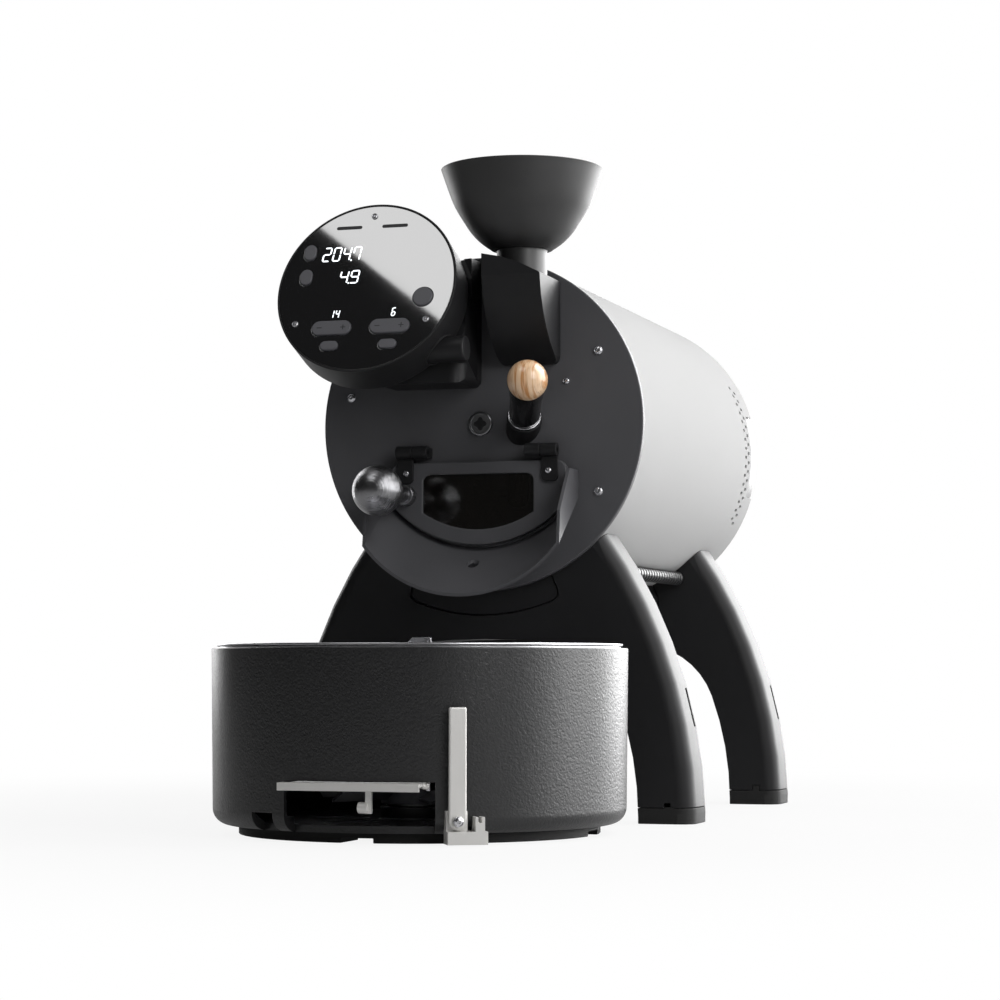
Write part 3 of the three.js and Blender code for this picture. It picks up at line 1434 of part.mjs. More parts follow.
// The lever group's X runs along the tray's wall, its Y points into the tray.
function buildLever() {
  const half = lever.width / 2;
  const pivot = lever.pivotHeight;
  const barOutline = [
    ...arc(0, pivot, half, -Math.PI, 0),
    new THREE.Vector2(half, lever.top),
    new THREE.Vector2(-half, lever.top),
  ];
  const front = -lever.out;
  const back = front + lever.thickness;
  const pinAt = (radius, from, to) => moved(rodY(radius, from, to), 0, 0, pivot);
  const pinHole = pinAt(leverPin.radius + gap, front - slack, back + slack);
  const bar = cut(frontToBack(barOutline, front, back), pinHole);
  piece(leverGroup, "exit_lever", bar, paleMetal);

  const notchMiddle = leverPost.left + leverPost.width / 2;
  const notch = block(
    notchMiddle - leverPost.notchWidth / 2,
    notchMiddle + leverPost.notchWidth / 2,
    -leverBase.out - overrun,
    overrun,
    leverPost.top - leverPost.notchDepth,
    leverPost.top + overrun,
  );
  const post = block(
    leverPost.left,
    leverPost.left + leverPost.width,
    -leverBase.out,
    leverBase.inward,
    leverBase.top - gap,
    leverPost.top,
  );
  const base = block(
    leverBase.left,
    leverBase.right,
    -leverBase.out,
    leverBase.inward,
    leverBase.bottom,
    leverBase.top,
  );
  const backPlate = block(
    -leverBack.halfWidth,
    leverBack.halfWidth,
    -leverBack.out,
    leverBase.inward,
    leverBase.top - gap,
    leverBack.top,
  );
  const trayOutside = latheZ([[0, trayFloor.bottom - gap], ...trayProfile(gap), [0, tray.top]]);
  const toLever = leverGroup.matrix.clone().invert();
  const pinFront = front - gap;
  const body = joined(
    cut(joined(base, cut(post, notch), backPlate), placed(trayOutside, toLever)),
    pinAt(leverPin.radius, pinFront - slack, -leverBack.out + slack),
    pinAt(leverHead.radius, pinFront - leverHead.thickness, pinFront),
  );
  piece(leverGroup, "lever_bracket", body, paleMetal);
}

buildPlate();
buildShell();
buildRearCover();
buildInlet();
buildChaffCollector();
buildRoastingChamber();
buildDrive();
buildExhaustFan();
buildBelly();
buildLoom();
buildStand();
buildChute();
buildHopper();
buildDisplay();
buildArmAndBracket();
buildTrier();
buildBezel();
buildDoor();
buildHinges();
buildTrough();
buildTrayBody();
buildTrayLiner();
buildTrayDrive();
buildFlap();
buildLever();

// The roaster stands on z = 0 with the middle of its footprint at the origin.
const roaster = new THREE.Group();
roaster.add(machine);
const extent = new THREE.Box3().setFromObject(machine);
machine.position.set(
  -(extent.min.x + extent.max.x) / 2,
  -(extent.min.y + extent.max.y) / 2,
  -extent.min.z,
);

export default roaster;
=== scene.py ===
"""The looks of a counter-top coffee roaster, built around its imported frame.

Lengths in the functions are millimetres in the frame's axes, and become metres when a piece is shown.
"""

import json
import math

import bmesh
import bpy
from mathutils import Matrix, Vector
from mathutils.geometry import tessellate_polygon

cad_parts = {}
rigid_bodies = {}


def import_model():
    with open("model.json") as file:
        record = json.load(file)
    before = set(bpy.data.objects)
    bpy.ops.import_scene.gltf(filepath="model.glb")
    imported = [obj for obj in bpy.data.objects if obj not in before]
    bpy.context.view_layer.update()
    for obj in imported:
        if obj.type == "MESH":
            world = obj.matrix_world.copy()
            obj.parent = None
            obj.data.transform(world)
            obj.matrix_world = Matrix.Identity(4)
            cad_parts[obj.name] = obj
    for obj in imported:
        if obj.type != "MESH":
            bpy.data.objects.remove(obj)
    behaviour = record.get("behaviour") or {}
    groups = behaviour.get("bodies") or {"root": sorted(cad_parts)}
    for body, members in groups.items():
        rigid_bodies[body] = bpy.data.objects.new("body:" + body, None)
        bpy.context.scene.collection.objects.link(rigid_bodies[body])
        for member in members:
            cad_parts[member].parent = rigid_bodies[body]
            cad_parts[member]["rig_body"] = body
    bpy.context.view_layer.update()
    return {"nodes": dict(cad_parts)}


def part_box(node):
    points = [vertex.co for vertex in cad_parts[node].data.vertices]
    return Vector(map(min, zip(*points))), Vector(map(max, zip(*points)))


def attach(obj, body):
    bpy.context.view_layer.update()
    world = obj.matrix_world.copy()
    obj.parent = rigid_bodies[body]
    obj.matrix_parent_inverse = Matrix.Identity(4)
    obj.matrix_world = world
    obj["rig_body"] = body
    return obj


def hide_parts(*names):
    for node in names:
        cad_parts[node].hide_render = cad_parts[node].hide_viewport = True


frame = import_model()

bl_info = {
    "name": "Coffee Roaster",
    "version": (1, 0, 0),
    "blender": (4, 5, 0),
    "location": "View3D > Sidebar > Roaster",
    "description": "Dresses the frame of a drum coffee roaster in detailed pieces and finishes",
    "category": "Object",
}

NODES = frame["nodes"]
MM = 0.001

# Places and sizes that several pieces share, in millimetres and degrees
PLATE_LOW, PLATE_HIGH = (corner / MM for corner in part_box("front_plate"))
FACE = PLATE_LOW.y
AXIS = (PLATE_LOW.z + PLATE_HIGH.z) / 2
PLATE_RADIUS, PLATE_THICKNESS = 135, 6
SHELL_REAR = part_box("outer_shell")[1].y / MM
COLLECTOR_Z = 364
HOPPER_X, HOPPER_Y = 43, -126.3
HINGE_Y, HINGE_Z = FACE - 12, AXIS - 23
DISPLAY_CENTRE, DISPLAY_RADIUS, DISPLAY_TILT = Vector((-73.5, -168.3, 424.3)), 75, 20.5
ARM_Y, ARM_Z = -160.3, 373
TRAY_Y, TRAY_RADIUS = -246.3, 156
LEVER_BEARING, LEVER_PIVOT = 28.4, 17
KNUCKLE_SPAN, LEAF_SPAN = (41, 53.85), (54.15, 67.6)
GLASS_FACE = -0.3
KNOB_RADIUS, NECK_RADIUS = 16, 13.6
CAMERA_PLACE = Vector((677, -2180.3, 124))
CAMERA_TURN = (math.radians(93.493), 0, math.radians(17.62))

# Keys on the display's glass: the middle, the width and the height
KEYS = {
    "start_button": (49, -11, 16.5, 16.5),
    "upper_side_button": (-51.7, 33, 10, 14),
    "lower_side_button": (-52.3, 10.7, 10, 14),
    "left_rocker": (-24.4, -35.8, 33, 12.5),
    "right_rocker": (24.4, -35.8, 33, 12.5),
    "left_small_button": (-24.4, -51.5, 15, 8),
    "right_small_button": (24.4, -51.5, 15, 8),
}

# Outlines about the drum's axis: half width, top, radius of the arc below, radius of the upper corners
DOOR_OUTLINES = {
    "opening": (60, -36, 91, 8),
    "panel": (74, -31, 98, 8),
    "sight": (46.5, -41, 85.4, 6),
    "rebate": (50, -37.5, 88.9, 6),
    "pane": (49.7, -37.8, 88.6, 6),
}

# A flat's rim is doubled this far inside it, so that the rounding's shade doesn't reach over the flat
CAP_MARGIN = 0.06

# A smaller radius than this is a point on the axis
ON_AXIS = 1e-4


# Places: each is a matrix from a piece's own axes to the frame's


def at(x, y, z):
    return Matrix.Translation((x, y, z))


def along_y(x, y, z):
    """Own Z runs to the rear."""
    return at(x, y, z) @ Matrix.Rotation(-math.pi / 2, 4, "X")


def along_x(x, y, z):
    """Own Z runs to the right."""
    return at(x, y, z) @ Matrix.Rotation(math.pi / 2, 4, "Y")


def facing_front(x, y, z):
    """Own X runs to the right, own Y up and own Z to the front."""
    return at(x, y, z) @ Matrix.Rotation(math.pi / 2, 4, "X")


def facing_right(x, y, z):
    """Own X runs to the rear, own Y up and own Z to the right."""
    turn = Matrix(((0, 0, 1, 0), (1, 0, 0, 0), (0, 1, 0, 0), (0, 0, 0, 1)))
    return at(x, y, z) @ turn


HEAD_FRONT = facing_front(0, FACE, AXIS)
DISPLAY = at(*DISPLAY_CENTRE) @ Matrix.Rotation(math.radians(90 - DISPLAY_TILT), 4, "X")
TRIER_AIM = Vector((0.306, -0.848, 0.432)).normalized()
TRIER = at(36, FACE, AXIS - 2.5) @ TRIER_AIM.to_track_quat("Z", "Y").to_matrix().to_4x4()


def tray_wall(bearing):
    """On the tray's wall at a bearing from straight ahead, own Z pointing out of the wall."""
    turn = Matrix.Rotation(math.radians(bearing), 4, "Z")
    return at(0, TRAY_Y, 0) @ turn @ facing_front(0, -TRAY_RADIUS, 0)


# Outlines, as lists of points


def arc(x, y, radius, start, end, steps):
    points = []
    for i in range(steps + 1):
        angle = math.radians(start + (end - start) * i / steps)
        points.append(Vector((x + radius * math.cos(angle), y + radius * math.sin(angle))))
    return points


def circle(x, y, radius, steps):
    return arc(x, y, radius, 0, 360, steps)[:-1]


def ellipse(x, y, across, along, lean=0, steps=48):
    turn = Matrix.Rotation(math.radians(lean), 2)
    return [turn @ Vector((p.x * across, p.y * along)) + Vector((x, y)) for p in circle(0, 0, 1, steps)]


def soften(corners, steps=5):
    """Corners are (x, y) or (x, y, radius), and each radius rounds its corner off."""
    points = []
    for i, corner in enumerate(corners):
        here = Vector(corner[:2])
        radius = corner[2] if len(corner) > 2 else 0
        if not radius:
            points.append(here)
            continue
        before = (Vector(corners[i - 1][:2]) - here).normalized()
        after = (Vector(corners[(i + 1) % len(corners)][:2]) - here).normalized()
        half = before.angle(after) / 2
        middle = here + (before + after).normalized() * (radius / math.sin(half))
        first = here + before * (radius / math.tan(half)) - middle
        last = here + after * (radius / math.tan(half)) - middle
        start = math.degrees(math.atan2(first.y, first.x))
        swing = (math.degrees(math.atan2(last.y, last.x)) - start + 180) % 360 - 180
        points += arc(middle.x, middle.y, radius, start, start + swing, steps)
    return points


def box_outline(left, right, bottom, top, corner=0, steps=5):
    places = [(left, bottom), (right, bottom), (right, top), (left, top)]
    return soften([(x, y, corner) for x, y in places], steps=steps)


def pill(x, y, width, height, steps=16):
    """A slot with round ends. Its corners stay just short of half its width, so that no side vanishes."""
    corner = min(width, height) / 2 - 0.001
    return box_outline(x - width / 2, x + width / 2, y - height / 2, y + height / 2, corner, steps)


def door_shape(part, steps=64):
    """One of the door's outlines: an arc below, straight sides and a flat top."""
    half_width, top, radius, corner = DOOR_OUTLINES[part]
    side = math.degrees(math.acos(half_width / radius))
    return (
        arc(0, 0, radius, side - 180, -side, steps)
        + arc(half_width - corner, top - corner, corner, 0, 90, 8)
        + arc(corner - half_width, top - corner, corner, 90, 180, 8)
    )


def sector(inner, outer, start, end, steps):
    """Part of a ring between two bearings from straight ahead."""
    return arc(0, 0, outer, start - 90, end - 90, steps) + arc(0, 0, inner, end - 90, start - 90, steps)


# Forms, as bmeshes in millimetres


def placed(form, place):
    form.transform(place)
    return form


def turned(profile, place=None, turns=96, closed=False):
    """A profile of (radius, distance) points, turned about its own Z. A radius under 0 counts as 0."""
    form = bmesh.new()
    rings = []
    for radius, distance in profile:
        radius = max(0, radius)
        count = turns if radius > ON_AXIS else 1
        angles = [math.tau * i / turns for i in range(count)]
        rings.append([form.verts.new((radius * math.cos(a), radius * math.sin(a), distance)) for a in angles])
    following = rings[1:] + ([rings[0]] if closed else [])
    for low, high in zip(rings, following):
        for i in range(turns):
            j = i + 1
            corners = [low[i % len(low)], low[j % len(low)], high[j % len(high)], high[i % len(high)]]
            corners = list(dict.fromkeys(corners))
            if len(corners) > 2:
                form.faces.new(corners)
    bmesh.ops.recalc_face_normals(form, faces=form.faces)
    return placed(form, place or Matrix())


def rod(radius, start, end, place=None, turns=40):
    return turned([(0, start), (radius, start), (radius, end), (0, end)], place, turns)


def inset(loop, distance):
    """The loop moved to its left by a distance."""
    moved = []
    for i, here in enumerate(loop):
        first = (here - loop[i - 1]).normalized()
        second = (loop[(i + 1) % len(loop)] - here).normalized()
        normal = Vector((-first.y - second.y, first.x + second.x))
        share = max(0.3, 1 + first.dot(second))
        moved.append(here + normal * (distance / share))
    return moved


def slab(outer, back, front, edge=0.0, back_edge=0.0, holes=(), place=None, steps=3):
    """A flat form in its own X and Y, from back to front along its own Z, with its rims rounded off."""
    levels = []
    for i in range(steps + 1 if back_edge else 1):
        angle = math.pi / 2 * i / steps
        levels.append((back_edge * (1 - math.sin(angle)), back + back_edge * (1 - math.cos(angle))))
    if back_edge:
        levels.insert(0, (back_edge + CAP_MARGIN, back))
    for i in range(steps + 1 if edge else 1):
        angle = math.pi / 2 * i / steps
        levels.append((edge * (1 - math.cos(angle)), front - edge * (1 - math.sin(angle))))
    if edge:
        levels.append((edge + CAP_MARGIN, front))
    form = bmesh.new()
    ends = ([], [])
    for number, loop in enumerate([outer, *holes]):
        area = sum(loop[i - 1].x * p.y - p.x * loop[i - 1].y for i, p in enumerate(loop))
        if (area > 0) != (number == 0):
            loop = loop[::-1]
        rings = [[form.verts.new((*p, z)) for p in inset(loop, amount)] for amount, z in levels]
        for low, high in zip(rings, rings[1:]):
            for i in range(len(loop)):
                form.faces.new([low[i - 1], low[i], high[i], high[i - 1]])
        ends[0].append(rings[0])
        ends[1].append(rings[-1])
    for rings in ends:
        verts = [v for ring in rings for v in ring]
        for corners in tessellate_polygon([[v.co for v in ring] for ring in rings]):
            form.faces.new([verts[i] for i in corners])
    bmesh.ops.recalc_face_normals(form, faces=form.faces)
    return placed(form, place or Matrix())


def block(left, right, front, back, bottom, top, edge=0.0, place=None):
    shape = box_outline(left, right, front, back, edge * 1.5)
    return slab(shape, bottom, top, edge, edge, place=place)


def together(*forms):
    whole = bmesh.new()
    for form in forms:
        mesh = bpy.data.meshes.new("part")
        form.to_mesh(mesh)
        whole.from_mesh(mesh)
        bpy.data.meshes.remove(mesh)
        form.free()
    return whole


def as_object(form, name="blank"):
    mesh = bpy.data.meshes.new(name)
    form.to_mesh(mesh)
    form.free()
    made = bpy.data.objects.new(name, mesh)
    bpy.context.scene.collection.objects.link(made)
    return made


def result_of(made, *helpers):
    """What an object's modifiers make of it, as a form. The object and its helpers are removed."""
    bpy.context.view_layer.update()
    depsgraph = bpy.context.evaluated_depsgraph_get()
    mesh = bpy.data.meshes.new_from_object(made.evaluated_get(depsgraph))
    form = bmesh.new()
    form.from_mesh(mesh)
    bpy.data.meshes.remove(mesh)
    for one in (made, *helpers):
        bpy.data.objects.remove(one)
    return form


def combined(form, other, operation="DIFFERENCE"):
    made, tool = as_object(form), as_object(other, "tool")
    step = made.modifiers.new("combine", "BOOLEAN")
    step.operation = operation
    step.solver = "EXACT"
    step.object = tool
    return result_of(made, tool)


# Node trees


class Value:
    """A socket that stands in an expression: arithmetic on it adds Math nodes."""

    def __init__(self, graph, socket):
        self.graph = graph
        self.socket = socket

    def math(self, operation, *values):
        return self.graph.add("ShaderNodeMath", {"operation": operation}, values)

    def __add__(self, other):
        return self.math("ADD", self, other)

    def __sub__(self, other):
        return self.math("SUBTRACT", self, other)

    def __rsub__(self, other):
        return self.math("SUBTRACT", other, self)

    def __mul__(self, other):
        return self.math("MULTIPLY", self, other)

    def __abs__(self):
        return self.math("ABSOLUTE", self)

    __radd__ = __add__
    __rmul__ = __mul__


class Graph:
    """A node tree under construction."""

    def __init__(self, tree):
        self.tree = tree

    def add(self, kind, settings=None, values=(), output=0):
        node = self.tree.nodes.new(kind)
        for name, value in (settings or {}).items():
            setattr(node, name, value)
        for key, value in values.items() if isinstance(values, dict) else enumerate(values):
            self.join(value, node.inputs[key])
        return Value(self, node.outputs[output])

    def join(self, value, socket):
        if isinstance(value, Value):
            self.tree.links.new(value.socket, socket)
        else:
            socket.default_value = value

    def ramp(self, value, low, high):
        """0 below low, 1 above high."""
        values = {"Value": value, "From Min": low, "From Max": high}
        return self.add("ShaderNodeMapRange", {"interpolation_type": "SMOOTHSTEP"}, values)


class Finish(Graph):
    """A material on one shader, whose patterns read object coordinates."""

    def __init__(self, name, constants):
        self.material = bpy.data.materials.new(f"{name}_finish")
        self.material.use_nodes = True
        super().__init__(self.material.node_tree)
        self.shader = self.tree.nodes["Principled BSDF"]
        for socket, value in constants.items():
            self.shader.inputs[socket].default_value = value
        self.place = self.add("ShaderNodeTexCoord", output="Object")

    def axes(self):
        return [self.add("ShaderNodeSeparateXYZ", values=[self.place], output=i) for i in range(3)]

    def stretched(self, scale, turn=(0, 0, 0)):
        values = {"Vector": self.place, "Rotation": turn, "Scale": scale}
        return self.add("ShaderNodeMapping", {"vector_type": "POINT"}, values)

    def noise(self, scale, detail=2.0, where=None, distortion=0.0):
        values = {"Vector": where or self.place, "Scale": scale, "Detail": detail, "Distortion": distortion}
        return self.add("ShaderNodeTexNoise", values=values)

    def cells(self, scale):
        values = {"Vector": self.place, "Scale": scale}
        return self.add("ShaderNodeTexVoronoi", {"feature": "SMOOTH_F1"}, values)

    def blend(self, share, first, second):
        settings = {"data_type": "RGBA"}
        return self.add("ShaderNodeMix", settings, {0: share, 6: first, 7: second}, output=2)

    def feed(self, socket, value):
        self.join(value, self.shader.inputs[socket])

    def bump(self, height, depth, strength=1.0):
        values = {"Height": height, "Distance": depth * MM, "Strength": strength}
        return self.add("ShaderNodeBump", values=values)


def tinted(colour, share):
    return tuple(min(1, max(0, part * share)) for part in colour[:3]) + (1,)


def tree_with(name, sizes):
    """A Geometry Nodes tree with a Material input and the named inputs, given as name and kind."""
    tree = bpy.data.node_groups.new(name, "GeometryNodeTree")
    tree.interface.new_socket("Geometry", in_out="INPUT", socket_type="NodeSocketGeometry")
    for label, kind in sizes.items():
        tree.interface.new_socket(label, in_out="INPUT", socket_type=f"NodeSocket{kind}")
    tree.interface.new_socket("Material", in_out="INPUT", socket_type="NodeSocketMaterial")
    tree.interface.new_socket("Geometry", in_out="OUTPUT", socket_type="NodeSocketGeometry")
    graph = Graph(tree)
    source = tree.nodes.new("NodeGroupInput")
    return graph, {socket.name: Value(graph, socket) for socket in source.outputs if socket.name}


def close_tree(graph, instances, finish):
    real = graph.add("GeometryNodeRealizeInstances", values=[instances])
    dressed = graph.add("GeometryNodeSetMaterial", values={"Geometry": real, "Material": finish})
    target = graph.tree.nodes.new("NodeGroupOutput")
    graph.tree.links.new(dressed.socket, target.inputs[0])
    return graph.tree


def copies_tree():
    """Copies of a pattern, each turned and shifted on from the one before."""
    sizes = {"Pattern": "Object", "Count": "Int", "First": "Float", "Step": "Float"}
    sizes |= {"Axis": "Vector", "Shift": "Vector"}
    graph, given = tree_with("copies_in_a_row", sizes)
    line = {"Count": given["Count"], "Start Location": (0, 0, 0), "Offset": given["Shift"]}
    points = graph.add("GeometryNodeMeshLine", {"mode": "OFFSET"}, line)
    number = graph.add("GeometryNodeInputIndex")
    turn = number * given["Step"] + given["First"]
    values = {"Vector": given["Axis"], "Scale": turn}
    rotation = graph.add("ShaderNodeVectorMath", {"operation": "SCALE"}, values)
    pattern = graph.add("GeometryNodeObjectInfo", values={"Object": given["Pattern"]}, output="Geometry")
    values = {"Points": points, "Instance": pattern, "Rotation": rotation}
    instances = graph.add("GeometryNodeInstanceOnPoints", values=values)
    return close_tree(graph, instances, given["Material"])


def fasteners_tree():
    """A pattern set on each point, along the direction that the point faces, at the point's size."""
    graph, given = tree_with("fasteners_on_points", {"Pattern": "Object"})
    facing = graph.add("GeometryNodeInputNamedAttribute", {"data_type": "FLOAT_VECTOR"}, {"Name": "facing"})
    size = graph.add("GeometryNodeInputNamedAttribute", {"data_type": "FLOAT"}, {"Name": "size"})
    aim = graph.add("FunctionNodeAlignRotationToVector", {"axis": "Z"}, {"Vector": facing})
    pattern = graph.add("GeometryNodeObjectInfo", values={"Object": given["Pattern"]}, output="Geometry")
    values = {"Points": given["Geometry"], "Instance": pattern, "Rotation": aim, "Scale": size}
    instances = graph.add("GeometryNodeInstanceOnPoints", values=values)
    return close_tree(graph, instances, given["Material"])


def through_tree(base, tree, inputs):
    """What a tree makes of a base object, its inputs set by name before the first evaluation."""
    step = base.modifiers.new("tree", "NODES")
    step.node_group = tree
    for item in tree.interface.items_tree:
        if item.in_out == "INPUT" and item.name in inputs:
            step[item.identifier] = inputs[item.name]
    helpers = [value for value in inputs.values() if isinstance(value, bpy.types.Object)]
    return result_of(base, *helpers)


def copies(pattern, count, step=0.0, first=0.0, axis=(0, 0, 1), shift=(0, 0, 0)):
    """Copies of a form, turned by step degrees about an axis and shifted from one to the next."""
    tree = bpy.data.node_groups.get("copies_in_a_row") or copies_tree()
    inputs = {
        "Pattern": as_object(pattern, "pattern"),
        "Count": count,
        "First": math.radians(first),
        "Step": math.radians(step),
        "Axis": axis,
        "Shift": shift,
    }
    return through_tree(as_object(bmesh.new()), tree, inputs)


def fasteners(pattern, places):
    """A form set at each (point, direction, size)."""
    tree = bpy.data.node_groups.get("fasteners_on_points") or fasteners_tree()
    base = as_object(bmesh.new())
    base.data.from_pydata([point for point, _, _ in places], [], [])
    base.data.attributes.new("facing", "FLOAT_VECTOR", "POINT")
    base.data.attributes.new("size", "FLOAT", "POINT")
    for i, (_, direction, width) in enumerate(places):
        base.data.attributes["facing"].data[i].vector = direction
        base.data.attributes["size"].data[i].value = width
    return through_tree(base, tree, {"Pattern": as_object(pattern, "pattern")})


# Showing a piece


def show(name, form, finish, node, replaces=(), slot=None, smooth=32, bevel=0.0, bevel_angle=40):
    """The form as a piece that rides with a node's body and stands for the nodes in replaces."""
    form.transform(Matrix.Scale(MM, 4))
    made = as_object(form, name)
    mesh = made.data
    mesh.name = name
    mesh.materials.clear()
    mesh.materials.append(material(finish))
    mesh.polygons.foreach_set("material_index", [0] * len(mesh.polygons))
    mesh.shade_smooth()
    mesh.set_sharp_from_angle(angle=math.radians(smooth))
    if bevel:
        rounding = made.modifiers.new("edges", "BEVEL")
        rounding.width = bevel * MM
        rounding.segments = 2
        rounding.limit_method = "ANGLE"
        rounding.angle_limit = math.radians(bevel_angle)
        rounding.use_clamp_overlap = True
    shading = made.modifiers.new("shading", "WEIGHTED_NORMAL")
    shading.keep_sharp = True
    shading.weight = 100
    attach(made, NODES[node]["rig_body"])
    if replaces:
        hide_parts(*replaces)
    slot = slot or FINISH_SLOTS.get(finish, finish)


def copy_of(node):
    """A node's own mesh as a form with its doubles merged and its flats made whole."""
    form = bmesh.new()
    form.from_mesh(NODES[node].data)
    form.transform(Matrix.Scale(1 / MM, 4))
    same = 0.002
    bmesh.ops.remove_doubles(form, verts=form.verts, dist=same)
    bmesh.ops.dissolve_degenerate(form, dist=same, edges=form.edges)
    bmesh.ops.dissolve_limit(form, angle_limit=math.radians(0.5), verts=form.verts, edges=form.edges)
    return form


def refine(node, finish, bevel, bevel_angle=40):
    """The node's own shape with its edges rounded off."""
    show(f"{node}_made", copy_of(node), finish, node, [node], bevel=bevel, bevel_angle=bevel_angle)


# Finishes


def colours():
    return bpy.context.scene.roaster_finishes


def grained(name, colour, shades, rough, fine, broad, depth, strength=1.0, constants=None):
    """Broad clouds shift the colour between two shades, a fine grain the roughness and the surface.

    fine and broad are a noise's scale and detail, or a scale alone for cells.
    """
    finish = Finish(name, constants or {})
    grain = finish.noise(*fine) if len(fine) == 2 else finish.cells(*fine)
    cloud = finish.noise(*broad)
    dark, light = (tinted(colour, shade) for shade in shades)
    finish.feed("Base Color", finish.blend(cloud, dark, light))
    finish.feed("Roughness", rough[0] + rough[1] * grain)
    finish.feed("Normal", finish.bump(grain, depth, strength))
    return finish


def powder_coat(name, shade, grain, depth, level):
    """Satin powder coat."""
    shades, fine = (0.8 * shade, 1.25 * shade), (grain, 2.5)
    constants = {"Specular IOR Level": level}
    return grained(name, colours().coat, shades, (0.4, 0.16), fine, (9, 3), depth, 1.0, constants)


def wrinkle_coat(name):
    """Powder coat that shrank into wrinkles."""
    finish = Finish(name, {"Specular IOR Level": 0.55})
    hills = finish.noise(430, 2, distortion=0.5)
    pores = finish.cells(640)
    dark, light = (tinted(colours().coat, shade) for shade in (0.5, 1.1))
    finish.feed("Base Color", finish.blend(hills, dark, light))
    finish.feed("Roughness", 0.28 + 0.14 * pores)
    finish.feed("Normal", finish.bump(hills * 0.8 + pores * 0.5, 0.22))
    return finish


def white_coat(name):
    """Matt coat with a faint orange peel."""
    constants = {"Specular IOR Level": 0.0}
    return grained(name, colours().shell, (0.97, 1.02), (0.38, 0.1), (260, 2), (6, 2), 0.02, 0.5, constants)


def pale_coat(name):
    """Light grey coat with metal flakes."""
    finish = grained(name, colours().pale, (0.93, 1.04), (0.36, 0.14), (1400, 2), (40, 2), 0.03)
    finish.feed("Metallic", 0.35 + 0.1 * finish.noise(40, 2))
    return finish


def steel(name, share, rough, spread, depth):
    """Bare steel with fine lines from its last machining, along the small parts of spread."""
    tone = tinted(colours().steel, share)
    finish = Finish(name, {"Metallic": 1.0})
    lines = finish.noise(1.0, 3, where=finish.stretched(spread))
    cloud = finish.noise(30, 2)
    finish.feed("Base Color", finish.blend(lines, tinted(tone, 0.82), tinted(tone, 1.1)))
    finish.feed("Roughness", rough + 0.12 * lines + 0.06 * cloud)
    finish.feed("Normal", finish.bump(lines, depth))
    return finish


def gloss_black(name):
    """Lacquer on the trier's grip."""
    constants = {"Coat Weight": 0.6, "Coat Roughness": 0.06, "Specular IOR Level": 0.6}
    shades, rough, cloud = (0.4, 0.7), (0.16, 0.08), (60, 2)
    return grained(name, colours().coat, shades, rough, cloud, cloud, 0.02, 0.3, constants)


def turned_wood(name):
    pale, streak = tinted(colours().wood, 1), tinted(colours().wood_streak, 1)
    finish = Finish(name, {"Coat Weight": 0.7, "Coat Roughness": 0.12})
    grain = finish.stretched((420, 60, 22), turn=(0.35, 0.25, 0))
    bands = finish.noise(1.0, 3, where=grain, distortion=0.4)
    fibres = finish.noise(4.0, 2, where=grain)
    ground = finish.blend(finish.ramp(bands, 0.45, 0.68), pale, streak)
    finish.feed("Base Color", finish.blend(finish.ramp(fibres, 0.5, 0.9), ground, tinted(streak, 0.55)))
    finish.feed("Roughness", 0.3 + 0.15 * fibres)
    finish.feed("Normal", finish.bump(fibres, 0.03, 0.5))
    return finish


def rubber(name):
    grain, constants = (700, 3), {"Specular IOR Level": 0.35}
    return grained(name, (0.012, 0.012, 0.012), (0.5, 1.5), (0.62, 0.2), grain, grain, 0.06, 1, constants)


def moulded(name, rough, colour=None):
    """Plastic with the fine spark-eroded grain of its mould, in the keys' colour unless one is given."""
    colour = colour or colours().keys
    return grained(name, colour, (0.88, 1.15), (rough, 0.12), (1300,), (25, 2), 0.02, 0.6)


def display_window(name):
    finish = Finish(name, {"IOR": 2.0, "Specular IOR Level": 1.0})
    smear = finish.noise(14, 3)
    finish.feed("Base Color", finish.blend(smear, (0.002, 0.002, 0.0025, 1), (0.004, 0.004, 0.005, 1)))
    finish.feed("Roughness", 0.02 + 0.03 * smear)
    return finish


def door_window(name):
    finish = Finish(name, {"IOR": 1.7, "Specular IOR Level": 0.8})
    smear = finish.noise(18, 3)
    finish.feed("Base Color", finish.blend(smear, (0.004, 0.0035, 0.003, 1), (0.012, 0.01, 0.008, 1)))
    finish.feed("Roughness", 0.03 + 0.04 * smear)
    finish.feed("Alpha", 0.5 + 0.15 * smear)
    return finish


def lit_figures(name):
    tone = tinted(colours().figures, 1)
    finish = Finish(name, {"Emission Strength": 1.6, "Roughness": 0.4})
    cloud = finish.noise(90, 1)
    finish.feed("Base Color", tone)
    finish.feed("Emission Color", finish.blend(cloud, tinted(tone, 0.85), tone))
    return finish


def mineral_wool(name):
    finish = Finish(name, {"Roughness": 0.95})
    fibres = finish.noise(1.0, 4, where=finish.stretched((500, 120, 500)))
    finish.feed("Base Color", finish.blend(fibres, (0.36, 0.31, 0.2, 1), (0.62, 0.57, 0.45, 1)))
    finish.feed("Normal", finish.bump(fibres, 0.8))
    return finish


def circuit_green(name):
    finish = Finish(name, {"Coat Weight": 0.5, "Coat Roughness": 0.2})
    x, y, _ = finish.axes()
    wave = x * 1500 + finish.noise(60)
    tracks = finish.ramp(abs(wave.math("SINE", wave)), 0.8, 0.95)
    cloth = finish.noise(300, 1)
    finish.feed("Base Color", finish.blend(tracks, (0.01, 0.09, 0.035, 1), (0.05, 0.2, 0.07, 1)))
    finish.feed("Roughness", 0.35 + 0.15 * cloth)
    finish.feed("Normal", finish.bump(y.math("SINE", y * 900) * 0.2 + tracks, 0.03))
    return finish


